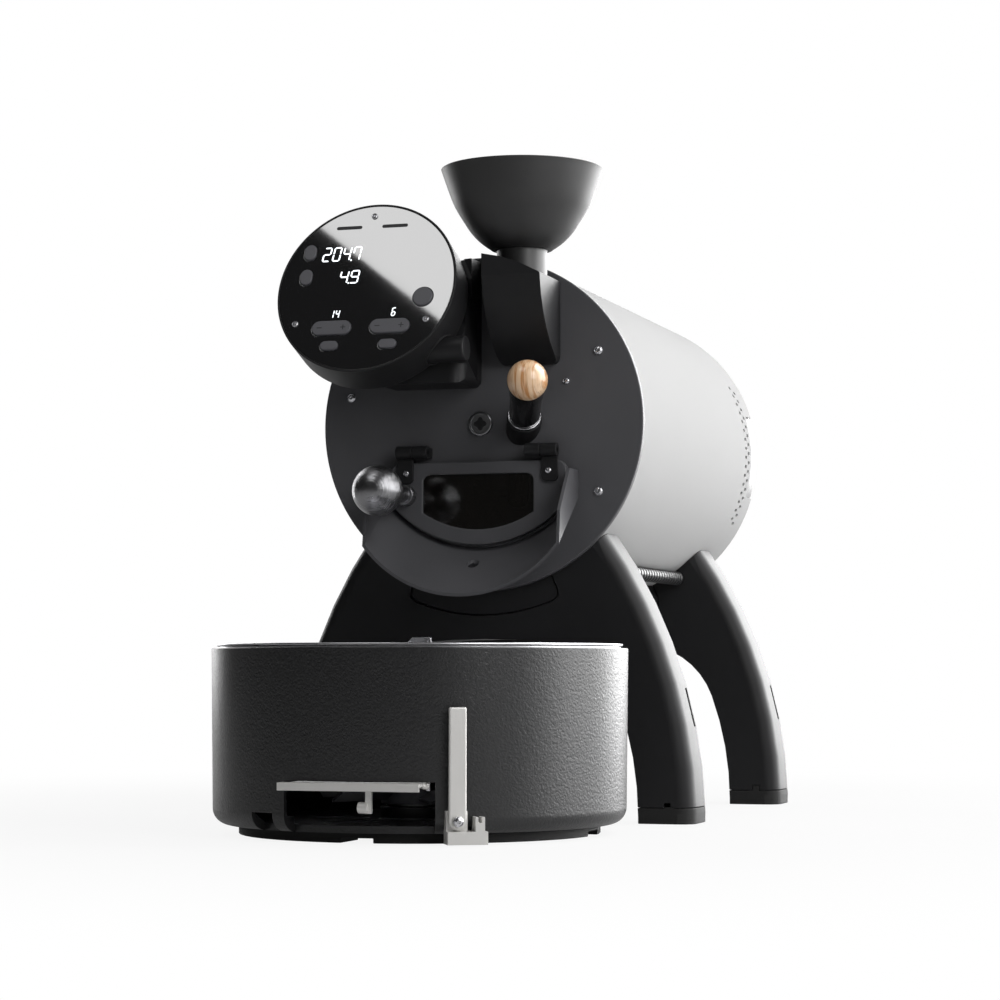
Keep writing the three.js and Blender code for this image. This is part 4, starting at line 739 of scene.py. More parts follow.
# Each finish with its maker and the maker's values
FINISHES = {
    "black_coat": (powder_coat, 1.0, 1150, 0.05, 0.22),
    # Plate, door and chute: the black coat 5.6 times lighter, partly their greyer coat and partly painted
    # light that stands in for light from the front
    "charcoal_coat": (powder_coat, 5.6, 1300, 0.05, 0.32),
    "hopper_black": (powder_coat, 0.35, 1500, 0.03, 0.75),
    "gloss_black": (gloss_black,),
    "wrinkle_coat": (wrinkle_coat,),
    "white_coat": (white_coat,),
    "pale_coat": (pale_coat,),
    "brushed_steel": (steel, 1.0, 0.2, (60, 60, 1800), 0.02),
    # Turned steel at 0.42 of the steel's tone: painted shade that stands in for the dark room its polish
    # mirrors
    "turned_steel": (steel, 0.42, 0.2, (30, 1300, 30), 0.5),
    "screw_steel": (steel, 1.0, 0.16, (700, 700, 700), 0.008),
    "dark_steel": (steel, 0.4, 0.3, (400, 60, 400), 0.02),
    "turned_wood": (turned_wood,),
    "rubber": (rubber,),
    "black_plastic": (moulded, 0.28, (0.008, 0.008, 0.009)),
    "grey_plastic": (moulded, 0.42),
    "key_mark": (moulded, 0.5, (0.012, 0.012, 0.014)),
    "display_window": (display_window,),
    "door_window": (door_window,),
    "lit_figures": (lit_figures,),
    "mineral_wool": (mineral_wool,),
    "circuit_green": (circuit_green,),
}

# The record's slot of each finish that only the looks have
FINISH_SLOTS = {
    "charcoal_coat": "black_coat",
    "turned_steel": "brushed_steel",
    "screw_steel": "brushed_steel",
    "key_mark": "grey_plastic",
}


def material(name):
    made = bpy.data.materials.get(f"{name}_finish")
    if not made:
        maker, *values = FINISHES[name]
        made = maker(name, *values).material
    return made


# Shapes of the pieces


def screw_head():
    """A domed head one millimetre across, with a hexagonal socket."""
    edge, dome = arc(0.36, 0.12, 0.14, 0, 60, 4), arc(0, -0.42, 0.74, 56, 90, 5)
    head = turned([(0, 0), (0.5, 0), *edge, *dome], turns=32)
    socket = slab(circle(0, 0, 0.2, 6), 0.12, 0.6)
    return combined(head, socket)


def front_plate():
    """The disc with the holes for the door, the falling beans, the trier and the sensor."""
    bean_port = ellipse(HOPPER_X, 67, 15, 21.2)
    trier_hole = ellipse(34.9, -4, 9.6, 11.4, -35)
    holes = [door_shape("opening"), bean_port, trier_hole, circle(0, 0, 5, 32)]
    disc = circle(0, 0, PLATE_RADIUS, 240)
    return slab(disc, -PLATE_THICKNESS, 0, measure("edge"), 0.5, holes, HEAD_FRONT, 4)


def outer_shell():
    """The shell with two rows of vents on each side and a notch at the rear."""
    outer, inner, front = 133.8, 132.3, FACE + 6.3
    corners = [(outer, front, 0.4), (outer, SHELL_REAR, 0.7), (inner, SHELL_REAR, 0.5), (inner, front, 0.4)]
    skin = turned(soften(corners, steps=3), along_y(0, 0, AXIS), 240, closed=True)
    place = facing_right(0, 0, 0)
    vents, pitch, half_gap, stagger = 16, 3.6, 5.5, 0.25
    cutters = []
    for side in (0, 180):
        for row in (-1, 1):
            shape = pill(0, 0, measure("vent_length"), measure("vent_width"), 6)
            slot = slab(shape, 120, 140, place=at(0, SHELL_REAR - 40 + row * half_gap, 0) @ place)
            first = side + (row * stagger - (vents - 1) / 2) * pitch
            cutters.append(copies(slot, vents, pitch, first, (0, 1, 0)))
    notch = box_outline(SHELL_REAR - 24, SHELL_REAR + 12, -38, 38, 6)
    cutters.append(slab(notch, 60, 140, place=place))
    return combined(skin, placed(together(*cutters), at(0, 0, AXIS)))


def chaff_collector():
    """A cup with a knob on its end and a slot at every 45 degrees."""
    outside = [(60, 331.3, 0.6), (62, 331.3, 0.6), (62, 397.3, 8), (10, 397.3, 1.5)]
    knob = [(9, 400, 0.8), (10, 402, 0.8), (10, 409.3, 2), (0, 409.3)]
    inside = [(0, 395.3), (60, 395.3, 6)]
    cup = turned(soften([*outside, *knob, *inside], steps=6), along_y(0, 0, COLLECTOR_Z), 128)
    slot = slab(pill(370.3, 0, 26, 8, 8), 50, 66, place=facing_right(0, 0, 0))
    return combined(cup, placed(copies(slot, 8, 45, 0, (0, 1, 0)), at(0, 0, COLLECTOR_Z)))


def smooth_line(points, steps=6):
    """A line through the points, rounded between them."""
    line = []
    ends = [2 * points[0] - points[1], *points, 2 * points[-1] - points[-2]]
    for before, start, end, after in zip(ends, ends[1:], ends[2:], ends[3:]):
        bend = 2 * before - 5 * start + 4 * end - after
        twist = 3 * start - before - 3 * end + after
        for i in range(steps):
            t = i / steps
            line.append(0.5 * (2 * start + (end - before) * t + bend * t**2 + twist * t**3))
    return [*line, points[-1]]


def hopper_bowl():
    """A spun bowl on a short neck. The shares give its outside from the foot to the lip."""
    foot, radius, base, height, wall = 24, 64.5, 454, 65, 2.5
    neck_bore, neck_radius, neck_end = 17.5, 20, 427
    shares = [(0, 0), (0.222, 0.1), (0.4, 0.215), (0.565, 0.368), (0.738, 0.554), (0.886, 0.792), (1, 1)]
    outside = [Vector((foot + (radius - foot) * across, base + height * up)) for across, up in shares]
    outside = smooth_line(outside)
    inside = []
    for i, here in enumerate(outside):
        way = (outside[min(i + 1, len(outside) - 1)] - outside[max(i - 1, 0)]).normalized()
        inside.append(here + Vector((-way.y, way.x)) * wall)
    lip = [outside[-1] - Vector(step) for step in ((0.1, 0.6), (1.1, 0), (2, 0.2))]
    end = [(neck_bore, neck_end, 0.5), (neck_radius, neck_end, 0.8)]
    neck = soften([*end, (neck_radius, base, 1.2), (foot, base)])
    profile = [*neck, *outside[1:-1], *lip, *reversed(inside[1:-2]), Vector((neck_bore, base + 3))]
    return turned(profile, at(HOPPER_X, HOPPER_Y, 0), 128, closed=True)


def display_can():
    """An open can with a step for the glass, bored for the arm."""
    outside = [(0, -34), (DISPLAY_RADIUS, -34, 3.2), (DISPLAY_RADIUS, 0, 0.7)]
    step = [(73.4, 0, 0.4), (73.4, -3), (70, -3, 0.3)]
    inside = [(70, -31, 1.5), (0, -31)]
    can = turned(soften([*outside, *step, *inside]), DISPLAY, 160)
    return combined(can, rod(10.7, -42, 60, along_x(0, ARM_Y, ARM_Z), 48))


def arm_lip():
    """The raised ring where the arm enters the can's side."""
    upright = DISPLAY.to_3x3().col[1]
    ring, bead, clear = 11.3, 0.9, 0.2
    path = []
    for angle in range(0, 360, 6):
        swing = math.radians(angle)
        spot = Vector((DISPLAY_CENTRE.x, ARM_Y + ring * math.cos(swing), ARM_Z + ring * math.sin(swing)))
        up = upright.dot(spot - DISPLAY_CENTRE)
        spot.x += math.sqrt(max(0, (DISPLAY_RADIUS + clear) ** 2 - up**2))
        path.append(spot)
    return tube(path, bead)


def tube(path, radius, sides=8):
    """A round bead along a closed path."""
    form = bmesh.new()
    rings = []
    for i, here in enumerate(path):
        way = (path[(i + 1) % len(path)] - path[i - 1]).normalized()
        out = way.orthogonal() if not rings else (last - last.project(way))
        last = out.normalized()
        other = way.cross(last)
        angles = [math.tau * k / sides for k in range(sides)]
        spokes = [radius * (math.cos(a) * last + math.sin(a) * other) for a in angles]
        rings.append([form.verts.new(here + spoke) for spoke in spokes])
    for i, ring in enumerate(rings):
        before = rings[i - 1]
        shift = 0
        if i == 0:
            shift = min(range(sides), key=lambda k: (before[k].co - ring[0].co).length)
        for k in range(sides):
            a, b = (k + shift) % sides, (k + 1 + shift) % sides
            form.faces.new([before[a], before[b], ring[(k + 1) % sides], ring[k]])
    bmesh.ops.recalc_face_normals(form, faces=form.faces)
    return form


def figure_strokes(figure, width, height, weight):
    """The lit bars of one seven-bar figure, with its lower left corner at the origin."""
    middle = height / 2
    half = weight / 2
    spots = {
        "a": ((0, height), (width, height)),
        "b": ((width, height), (width, middle)),
        "c": ((width, middle), (width, 0)),
        "d": ((0, 0), (width, 0)),
        "e": ((0, middle), (0, 0)),
        "f": ((0, height), (0, middle)),
        "g": ((0, middle), (width, middle)),
    }
    bars = []
    for key in figure:
        start, end = (Vector(spot) for spot in spots[key])
        way = (end - start).normalized()
        side = Vector((-way.y, way.x)) * half
        start, end = start + way * half * 1.3, end - way * half * 1.3
        tip = way * half * 0.9
        bars.append([start - tip, start - side, end - side, end + tip, end + side, start + side])
    return bars


FIGURES = {"0": "abcdef", "1": "bc", "2": "abged", "4": "fgbc", "6": "acdefg", "7": "abcf", "9": "abcdfg"}


def readout(text, left, bottom, width, height, weight, lean=0.12):
    """Figures side by side on the glass, leaning to the right. A point takes no place of its own."""
    pitch = width / len(text.replace(".", ""))
    dot, gap = weight * 0.62, weight * 2.4
    bars = []
    column = -1
    for mark in text:
        if mark == ".":
            spot = Vector((left + (column + 1) * pitch + weight * 0.2, bottom))
            bars.append([spot + p for p in circle(0, 0, dot, 10)])
            continue
        column += 1
        if mark == " ":
            continue
        corner = Vector((left + column * pitch + weight, bottom))
        for bar in figure_strokes(FIGURES[mark], pitch - gap, height, weight):
            bars.append([corner + Vector((p.x + lean * p.y, p.y)) for p in bar])
    return [slab(bar, -0.32, -0.24, place=DISPLAY) for bar in bars]


def trough():
    """The bean chute: a bent sheet whose floor falls to the front.

    tops is the line along its sides' upper edges, as depths before the plate and heights from the axis.
    """
    wall, fall, half, bend = 2.5, 0.7, 79, 99.5
    tops = [(0.3, -39), (24, -39), (51.5, -73.5), (55, -104)]
    depths = [0.3, 8, 16, 24, 31, 38, 45, 51.5, 52.7, 53.8, 54.6, 55]
    form = bmesh.new()

    def top_at(depth):
        for (d0, z0), (d1, z1) in zip(tops, tops[1:]):
            if depth <= d1:
                return z0 + (z1 - z0) * (depth - d0) / (d1 - d0)
        return tops[-1][1]

    def column(depth, half_width, radius):
        side = math.degrees(math.acos(half_width / radius))
        corner = -math.sqrt(radius**2 - half_width**2) - fall * depth
        top = max(top_at(depth), corner + 0.4)
        rising = [Vector((half_width, corner + (top - corner) * i / 10)) for i in range(1, 11)]
        floor = [p - Vector((0, fall * depth)) for p in arc(0, 0, radius, side - 180, -side, 72)]
        left = [Vector((-p.x, p.y)) for p in reversed(rising)]
        line = left + floor + rising
        return [form.verts.new((p.x, FACE - depth, AXIS + p.y)) for p in line]

    inner = [column(depth, half, bend) for depth in depths]
    outer = [column(depth, half + wall, bend + wall) for depth in depths]
    for sheet in (inner, outer):
        for first, second in zip(sheet, sheet[1:]):
            for i in range(len(first) - 1):
                form.faces.new([first[i], first[i + 1], second[i + 1], second[i]])
    for near, far in ((inner[0], outer[0]), (inner[-1], outer[-1])):
        for i in range(len(near) - 1):
            form.faces.new([near[i], near[i + 1], far[i + 1], far[i]])
    for i in range(len(depths) - 1):
        for end in (0, -1):
            form.faces.new([inner[i][end], inner[i + 1][end], outer[i + 1][end], outer[i][end]])
    bmesh.ops.recalc_face_normals(form, faces=form.faces)
    return combined(form, rod(4.75, 150, 240, at(0, FACE - 20, 0)))


def tray_body():
    """The pan with its exit, the dark socket beside it, the floor's vents and the liner's rests."""
    outside = [Vector((0, 7.3)), *arc(142.5, 19.3, 12, -90, 0, 10)]
    wall = soften([(154.5, 19.3), (TRAY_RADIUS, 137.3, 0.8), (153, 137.3, 0.8), (151.5, 19.3)])
    floor = soften([(139.5, 10.3), (30, 10.3, 2), (30, 20, 1), (0, 20)])
    pan = turned([*outside, *wall[1:], *floor], None, 240)
    exit_opening = slab(sector(142.5, 162, -19, 23.2, 24), 0, 43.6)
    socket_opening = slab(sector(142.5, 162, -31.5, -23.2, 6), 6, 20.4)
    vents = copies(slab(box_outline(42, 88, -8, 8, 4), 0, 16), 6, 60)
    pan = combined(pan, together(exit_opening, socket_opening, vents))
    rests = copies(block(144.5, 154.5, -7, 7, 39, 43, 0.5), 6, 60)
    socket = block(-4.5, 4.5, -139.2, -127.5, 7.3, 17, 0.5, Matrix.Rotation(math.radians(-27.35), 4, "Z"))
    return placed(together(pan, rests, socket), at(0, TRAY_Y, 0))


def tray_liner():
    """The steel pan with its sieve, the gap over the exit and the two lugs of the flap's hinge."""
    under = [(6, 43.3), (150.5, 43.3, 5), (150.5, 138.6, 0.3)]
    rim = [(152, 138.6, 0.9), (152, 140.6, 0.9), (149.3, 140.6, 0.8)]
    upper = [(149.3, 44.8, 4), (6, 44.8)]
    pan = turned(soften([*under, *rim, *upper]), None, 240, closed=True)
    cutters = []
    for radius, count in ((45, 20), (73, 32), (101, 44)):
        shape = pill(radius, 0, measure("sieve_length"), measure("sieve_width"), 3)
        cutters.append(copies(slab(shape, 40, 48), count, 360 / count, 180 / count))
    gap = slab(box_outline(-44, 54, -152, -129), 30, 60)
    cutters.append(combined(gap, rod(149.2, 20, 100, None, 160), "INTERSECT"))
    sieve = combined(pan, together(*cutters))
    lugs = [block(left, left + 3, -131.3, -121, 37, 43.6, 0.3) for left in (-43.3, 50.3)]
    return placed(together(sieve, *lugs), at(0, TRAY_Y, 0))


def hinge_leaf(side):
    """The door's half of a hinge, with its barrel."""
    inner, outer = sorted(side * end for end in LEAF_SPAN)
    foot, pin = -48, HINGE_Z - AXIS
    shape = soften([(inner, foot, 3.5), (outer, foot, 3.5), (outer, pin), (inner, pin)])
    leaf = slab(shape, 9.3, 11.3, 0.4, 0.2, place=HEAD_FRONT)
    return combined(leaf, hinge_barrel(inner, outer), "UNION")


def hinge_barrel(left, right):
    profile = soften([(0, left), (5.5, left, 0.5), (5.5, right, 0.5), (0, right)], steps=3)
    return turned(profile, along_x(0, HINGE_Y, HINGE_Z), 40)


def hinge_knuckle(side):
    """The plate's half of a hinge, with the pin that reaches through the door's half."""
    inner, outer = sorted(side * end for end in KNUCKLE_SPAN)
    half, inside = 4.4, 0.01
    lug = block(inner + inside, outer - inside, HINGE_Y, FACE - 0.3, HINGE_Z - half, HINGE_Z + half, 0.6)
    pin = rod(2, KNUCKLE_SPAN[0], LEAF_SPAN[1], along_x(0, HINGE_Y, HINGE_Z), 24)
    if side < 0:
        placed(pin, Matrix.Scale(-1, 4, (1, 0, 0)))
        bmesh.ops.recalc_face_normals(pin, faces=pin.faces)
    return together(combined(lug, hinge_barrel(inner, outer), "UNION"), pin)


def door_frame():
    panel, sight = door_shape("panel", 96), door_shape("sight", 72)
    frame_form = slab(panel, 3, 9, measure("edge"), 0.4, [sight], HEAD_FRONT, 4)
    return combined(frame_form, slab(door_shape("rebate", 72), 0, 7.3, place=HEAD_FRONT))


def knob_profile():
    """The door knob's foot, its stem and the ball."""
    stem = soften([(0, 9.3), (8, 9.3, 0.4), (8, 18.3, 1), (5, 18.3, 0.5), (5, 57)])
    return stem + arc(0, 78, 20, -75.5, 90, 48)


def sensor_star():
    """The flat middle of the sensor's ring, with four round lobes."""
    radius, rise, lobes, steps = 4.6, 0.9, 4, 96
    outline = []
    for i in range(steps):
        angle = math.tau * i / steps
        reach = radius + rise * math.cos(lobes * angle)
        outline.append(Vector((reach * math.cos(angle), reach * math.sin(angle))))
    return slab(outline, 2.1, 2.7, 0.3, place=HEAD_FRONT)


def loom_sleeve():
    """A sleeve with a round swell about every nine millimetres."""
    low, high = (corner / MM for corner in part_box("cable_loom"))
    run = high.y - low.y
    count = round(run / 9)
    pitch = run / count
    hill = [(4, 0), (6.2, pitch * 0.3, 1), (6.2, pitch * 0.7, 1), (4, pitch)]
    swell = turned(soften(hill), None, 24)
    sleeve = together(rod(4.9, 0, run, turns=24), copies(swell, count, shift=(0, 0, pitch)))
    return placed(sleeve, along_y((low.x + high.x) / 2, low.y, (low.z + high.z) / 2))


def rocker_marks(rocker):
    """A minus and a plus on a rocker's two ends."""
    x, y = KEYS[rocker][:2]
    reach, along, thin, bottom, top = 10, 4.4, 0.8, 1.25, 1.34
    left, right = x - reach, x + reach
    bars = []
    for middle, width, height, face in (
        (left, along, thin, top),
        (right, along, thin, top),
        (right, thin, along, top + 0.01),
    ):
        bars.append(slab(pill(middle, y, width, height, 4), bottom, face, place=DISPLAY))
    return together(*bars)


def grille_rib():
    shape = [Vector((0, 0)), Vector((30, -18)), Vector((30, -17)), Vector((0, 1))]
    return slab(shape, -0.1, 0.55, 0.2, place=facing_right(0, 0, 18))


def trier_scoop():
    """The bored tube with its grip, open along the side that takes the beans."""
    pipe = [(0, -120), (9, -120, 1), (9, 15)]
    grip = [(11.8, 15, 0.5), (12.4, 19, 1), (13, 50), (0, 50)]
    opening = block(-10, 10, 0, 10, -114, -34, place=TRIER)
    hollow = combined(rod(7.4, -114, -30, TRIER), opening, "UNION")
    return combined(turned(soften(pipe + grip), TRIER, 64), hollow)


def trier_knob():
    """A ball with a flat foot."""
    foot, middle = 61.6, 70
    start = math.degrees(math.asin(NECK_RADIUS / KNOB_RADIUS)) - 90
    ball = [(0, foot), (NECK_RADIUS, foot), *arc(0, middle, KNOB_RADIUS, start, 90, 40)]
    return turned(ball, TRIER)


def lever_bar():
    """A flat bar that is round about its pivot."""
    half, top = 6.3, 95.7
    foot = arc(0, LEVER_PIVOT, half, -180, 0, 24)
    tip = soften([(half, LEVER_PIVOT), (half, top, 1.2), (-half, top, 1.2)])[1:]
    hole = circle(0, LEVER_PIVOT, 2.8, 32)
    return slab(foot + tip, 5.5, 8.5, 1.2, 0.4, [hole], tray_wall(LEVER_BEARING), 4)


# Sizes and colours that a user may change


def length_property(name, text, default, low, high):
    """A size that the panel shows with its unit, given in millimetres."""
    limits = {"default": default * MM, "min": low * MM, "max": high * MM}
    return bpy.props.FloatProperty(
        name=name, description=text, subtype="DISTANCE", unit="LENGTH", precision=5, **limits
    )


def colour_property(name, text, default):
    return bpy.props.FloatVectorProperty(
        name=name, description=text, subtype="COLOR", default=default, min=0, max=1
    )


def power_property(name, text, default):
    return bpy.props.FloatProperty(
        name=name, description=text, subtype="POWER", unit="POWER", default=default, min=0
    )


class RoasterSizes(bpy.types.PropertyGroup):
    """Sizes of the details"""

    edge: length_property("Machined edge", "Rounding of the plate's and door's edges", 1.1, 0.2, 2)
    vent_length: length_property("Vent length", "Length of each vent in the shell", 8, 4, 10)
    vent_width: length_property("Vent width", "Width of each vent in the shell", 3, 1, 5)
    sieve_length: length_property("Sieve slot length", "Length of each slot in the tray's floor", 18, 4, 24)
    sieve_width: length_property("Sieve slot width", "Width of each slot in the tray's floor", 2.4, 1, 4)
    plate_screw: length_property("Plate screw", "Width of the plate's screw heads", 7.4, 4, 10)
    small_screw: length_property("Small screw", "Width of the hinge and display screw heads", 5, 2, 8)


class RoasterFinishes(bpy.types.PropertyGroup):
    """Colours of the finishes"""

    coat: colour_property("Black coat", "Powder coat of the plate, legs and chutes", (0.014, 0.014, 0.015))
    shell: colour_property("Shell", "White coat of the drum's shell", (0.6, 0.6, 0.6))
    pale: colour_property("Pale coat", "Coat of the tray's lever and flap", (0.74, 0.73, 0.71))
    steel: colour_property("Steel", "Bare steel", (0.62, 0.62, 0.64))
    keys: colour_property("Keys", "Plastic of the keys and fans", (0.085, 0.085, 0.095))
    wood: colour_property("Wood", "Ground of the wooden knob", (0.86, 0.6, 0.38))
    wood_streak: colour_property("Wood streaks", "Dark lines of the wooden knob", (0.6, 0.27, 0.09))
    figures: colour_property("Figures", "Light of the display's figures", (0.92, 0.96, 1))


class RoasterStudio(bpy.types.PropertyGroup):
    """Strengths of the studio's lamps"""

    rim: power_property("Rim lamp", "Power of the lamp behind the right", 13)
    side: power_property("Side lamp", "Power of the lamp at the right", 5)
    right: power_property("Right lamp", "Power of the lamp in front of the right", 13)
    left: power_property("Left lamp", "Power of the lamp behind the left", 14)
    top: power_property("Top lamp", "Power of the lamp over the right", 12)
    front: power_property("Front card", "Power of the card that the display's glass mirrors", 5)
    room: bpy.props.FloatProperty(
        name="Room", description="Light of the room all round", default=0.03, min=0
    )
    glow: bpy.props.FloatProperty(
        name="Wall", description="Glow of the wall that gloss shows", default=7, min=0
    )


def measure(name):
    """One of the panel's sizes, in millimetres."""
    return getattr(bpy.context.scene.roaster_sizes, name) / MM


# Operators


class PieceOperator:
    bl_options = {"REGISTER", "UNDO"}


class ROASTER_OT_head(PieceOperator, bpy.types.Operator):
    """Makes the front plate with its sensor and the drum's shell"""

    bl_idname = "roaster.make_head"
    bl_label = "Plate and shell"

    def execute(self, context):
        show("plate_disc", front_plate(), "charcoal_coat", "front_plate", ["front_plate"])
        show("shell_skin", outer_shell(), "white_coat", "outer_shell", ["outer_shell"])
        stem = [(0, -5), (4.7, -5), (4.7, 0.3)]
        rim = [(9.8, 0.3), (9.8, 3, 1.2), (7.6, 3, 0.3), (7.6, 2.2), (0, 2.2)]
        bezel = turned(soften(stem + rim), HEAD_FRONT, 64)
        show("sensor_ring", bezel, "turned_steel", "sensor_bezel", ["sensor_bezel"])
        show("sensor_centre", sensor_star(), "black_plastic", "sensor_bezel")
        return {"FINISHED"}


class ROASTER_OT_rear(PieceOperator, bpy.types.Operator):
    """Makes the rear cover, the mains inlet and the chaff collector"""

    bl_idname = "roaster.make_rear"
    bl_label = "Rear end"

    def execute(self, context):
        refine("rear_cover", "black_plastic", 0.7)
        refine("mains_inlet", "black_plastic", 0.5)
        pins = copies(block(-1, 1, 318, 328, -3, 3, 0.3), 3, shift=(7, 0, 0))
        show("inlet_pins", placed(pins, at(38, 0, AXIS - 95)), "screw_steel", "mains_inlet")
        show("collector_cup", chaff_collector(), "turned_steel", "chaff_collector", ["chaff_collector"])
        return {"FINISHED"}


class ROASTER_OT_stand(PieceOperator, bpy.types.Operator):
    """Makes the legs, their feet, the belly duct and the cable loom"""

    bl_idname = "roaster.make_stand"
    bl_label = "Stand and duct"

    def execute(self, context):
        for place in ("front", "rear"):
            refine(f"{place}_leg", "black_coat", 0.8, bevel_angle=50)
            for side in ("left", "right"):
                refine(f"{place}_{side}_foot", "rubber", 0.6)
        refine("belly_duct", "black_coat", 0.9, bevel_angle=50)
        show("loom_sleeve", loom_sleeve(), "black_plastic", "cable_loom", ["cable_loom"])
        return {"FINISHED"}


class ROASTER_OT_feed(PieceOperator, bpy.types.Operator):
    """Makes the hopper and the inlet chute"""

    bl_idname = "roaster.make_feed"
    bl_label = "Hopper and chute"

    def execute(self, context):
        show("hopper_spun", hopper_bowl(), "hopper_black", "hopper_bowl", ["hopper_bowl"])
        refine("inlet_chute", "black_coat", 0.7)
        return {"FINISHED"}


class ROASTER_OT_display(PieceOperator, bpy.types.Operator):
    """Makes the display's can, glass, keys and readouts"""

    bl_idname = "roaster.make_display"
    bl_label = "Display"

    def execute(self, context):
        show("can_body", display_can(), "black_coat", "display_can", ["display_can"])
        show("can_lip", arm_lip(), "black_coat", "display_can")
        holes = [pill(x, y, width + 0.8, height + 0.8) for x, y, width, height in KEYS.values()]
        glass = slab(circle(0, 0, 73.1, 192), -2.7, GLASS_FACE, 0.3, 0.2, holes, DISPLAY)
        show("glass_pane", glass, "display_window", "display_glass", ["display_glass"])
        for name, (x, y, width, height) in KEYS.items():
            key = slab(pill(x, y, width, height, 20), -4.4, 1.3, 0.8, 0, place=DISPLAY, steps=4)
            show(f"{name}_cap", key, "grey_plastic", name, [name])
        for rocker in ("left_rocker", "right_rocker"):
            show(f"{rocker}_marks", rocker_marks(rocker), "key_mark", rocker)
        slots = [slab(pill(x, 54.6, 21.8, 3, 8), -0.34, -0.24, place=DISPLAY) for x in (-21.4, 17.4)]
        show("glass_slots", together(*slots), "key_mark", "display_glass")
        figures = [
            *readout("204.7", -42, 25, 34, 11.8, 1.2),
            *readout("4.9", -25, 4.4, 18, 10.8, 1.15),
            *readout(" 14", -33, -26.6, 14, 6.8, 0.85),
            *readout("  6", 14.2, -26.6, 14, 6.8, 0.85),
        ]
        show("readout_figures", together(*figures), "lit_figures", "display_glass")
        refine("display_board", "circuit_green", 0)
        return {"FINISHED"}


class ROASTER_OT_bracket(PieceOperator, bpy.types.Operator):
    """Makes the display's arm and its bracket with the grille"""

    bl_idname = "roaster.make_bracket"
    bl_label = "Arm and bracket"

    def execute(self, context):
        profile = soften([(0, -40), (10.3, -40, 1), (10.3, 8, 1.6), (0, 8)])
        arm = turned(profile, along_x(0, ARM_Y, ARM_Z), 64)
        show("arm_rod", arm, "black_coat", "display_arm", ["display_arm"])
        refine("arm_bracket", "black_coat", 0.9, bevel_angle=45)
        ribs = copies(grille_rib(), 26, shift=(0, 0, 2.1))
        show("bracket_grille", placed(ribs, at(0.5, -141, 353)), "black_coat", "arm_bracket")
        return {"FINISHED"}


class ROASTER_OT_trier(PieceOperator, bpy.types.Operator):
    """Makes the trier with its collar, grip and wooden knob"""

    bl_idname = "roaster.make_trier"
    bl_label = "Trier"

    def execute(self, context):
        sleeve = soften([(9.3, -20), (14, -20), (14, 14, 0.8), (9.3, 14, 0.5)])
        collar = turned(sleeve, TRIER, 64, closed=True)
        behind_face = block(-60, 120, FACE - 0.3, 0, 200, 420)
        show("trier_boss", combined(collar, behind_face), "black_coat", "trier_collar", ["trier_collar"])
        show("trier_scoop", trier_scoop(), "gloss_black", "trier_tube", ["trier_tube"])
        ring = soften([(12.2, 14.6), (13.2, 14.6, 0.4), (13.2, 16.4, 0.4), (12.2, 16.4)])
        show("trier_ring", turned(ring, TRIER, 64, closed=True), "screw_steel", "trier_tube")
        neck = soften([(0, 50.3), (NECK_RADIUS, 50.3, 0.5), (NECK_RADIUS, 61.7), (0, 61.7)])
        show("trier_neck", turned(neck, TRIER, 64), "gloss_black", "trier_handle")
        show("trier_knob", trier_knob(), "turned_wood", "trier_handle", ["trier_handle"])
        return {"FINISHED"}


class ROASTER_OT_door(PieceOperator, bpy.types.Operator):
    """Makes the door with its window, knob and hinges"""

    bl_idname = "roaster.make_door"
    bl_label = "Door"

    def execute(self, context):
        show("door_panel", door_frame(), "charcoal_coat", "door_frame", ["door_frame"])
        pane = slab(door_shape("pane", 72), 4, 7, 0.2, 0.2, place=HEAD_FRONT)
        show("door_pane", pane, "door_window", "door_glass", ["door_glass"])
        place = facing_front(-60, FACE, AXIS - 57.5)
        show("knob_ball", turned(knob_profile(), place, 128), "turned_steel", "door_knob", ["door_knob"])
        count, rib = 28, block(-0.5, 0.5, 7.7, 8.6, 10.5, 17, 0.2)
        ribs = placed(copies(rib, count, 360 / count), place)
        show("knob_ribs", ribs, "dark_steel", "door_knob", slot="brushed_steel")
        for name, side in (("left", -1), ("right", 1)):
            leaf, knuckle = f"{name}_hinge_leaf", f"{name}_hinge_knuckle"
            show(f"{name}_leaf", hinge_leaf(side), "black_coat", leaf, [leaf])
            show(f"{name}_knuckle", hinge_knuckle(side), "black_coat", knuckle, [knuckle])
        return {"FINISHED"}


class ROASTER_OT_trough(PieceOperator, bpy.types.Operator):
    """Makes the bean chute under the door"""

    bl_idname = "roaster.make_trough"
    bl_label = "Bean chute"

    def execute(self, context):
        sheet = trough()
        show("chute_sheet", sheet, "charcoal_coat", "bean_chute", ["bean_chute"], bevel=0.7, bevel_angle=50)
        return {"FINISHED"}


class ROASTER_OT_tray(PieceOperator, bpy.types.Operator):
    """Makes the cooling tray with its liner, stirrer, flap and lever"""

    bl_idname = "roaster.make_tray"
    bl_label = "Cooling tray"

    def execute(self, context):
        show("tray_pan", tray_body(), "wrinkle_coat", "tray_body", ["tray_body"])
        show("tray_sieve", tray_liner(), "brushed_steel", "tray_liner", ["tray_liner"])
        refine("tray_base", "rubber", 0.6)
        refine("stirrer", "brushed_steel", 0.4)
        refine("stirrer_motor", "dark_steel", 0.6)
        refine("cooling_fan", "grey_plastic", 0.3)
        refine("exit_flap", "pale_coat", 0.3, bevel_angle=50)
        refine("lever_bracket", "pale_coat", 0.4, bevel_angle=50)
        show("lever_bar", lever_bar(), "pale_coat", "exit_lever", ["exit_lever"])
        return {"FINISHED"}


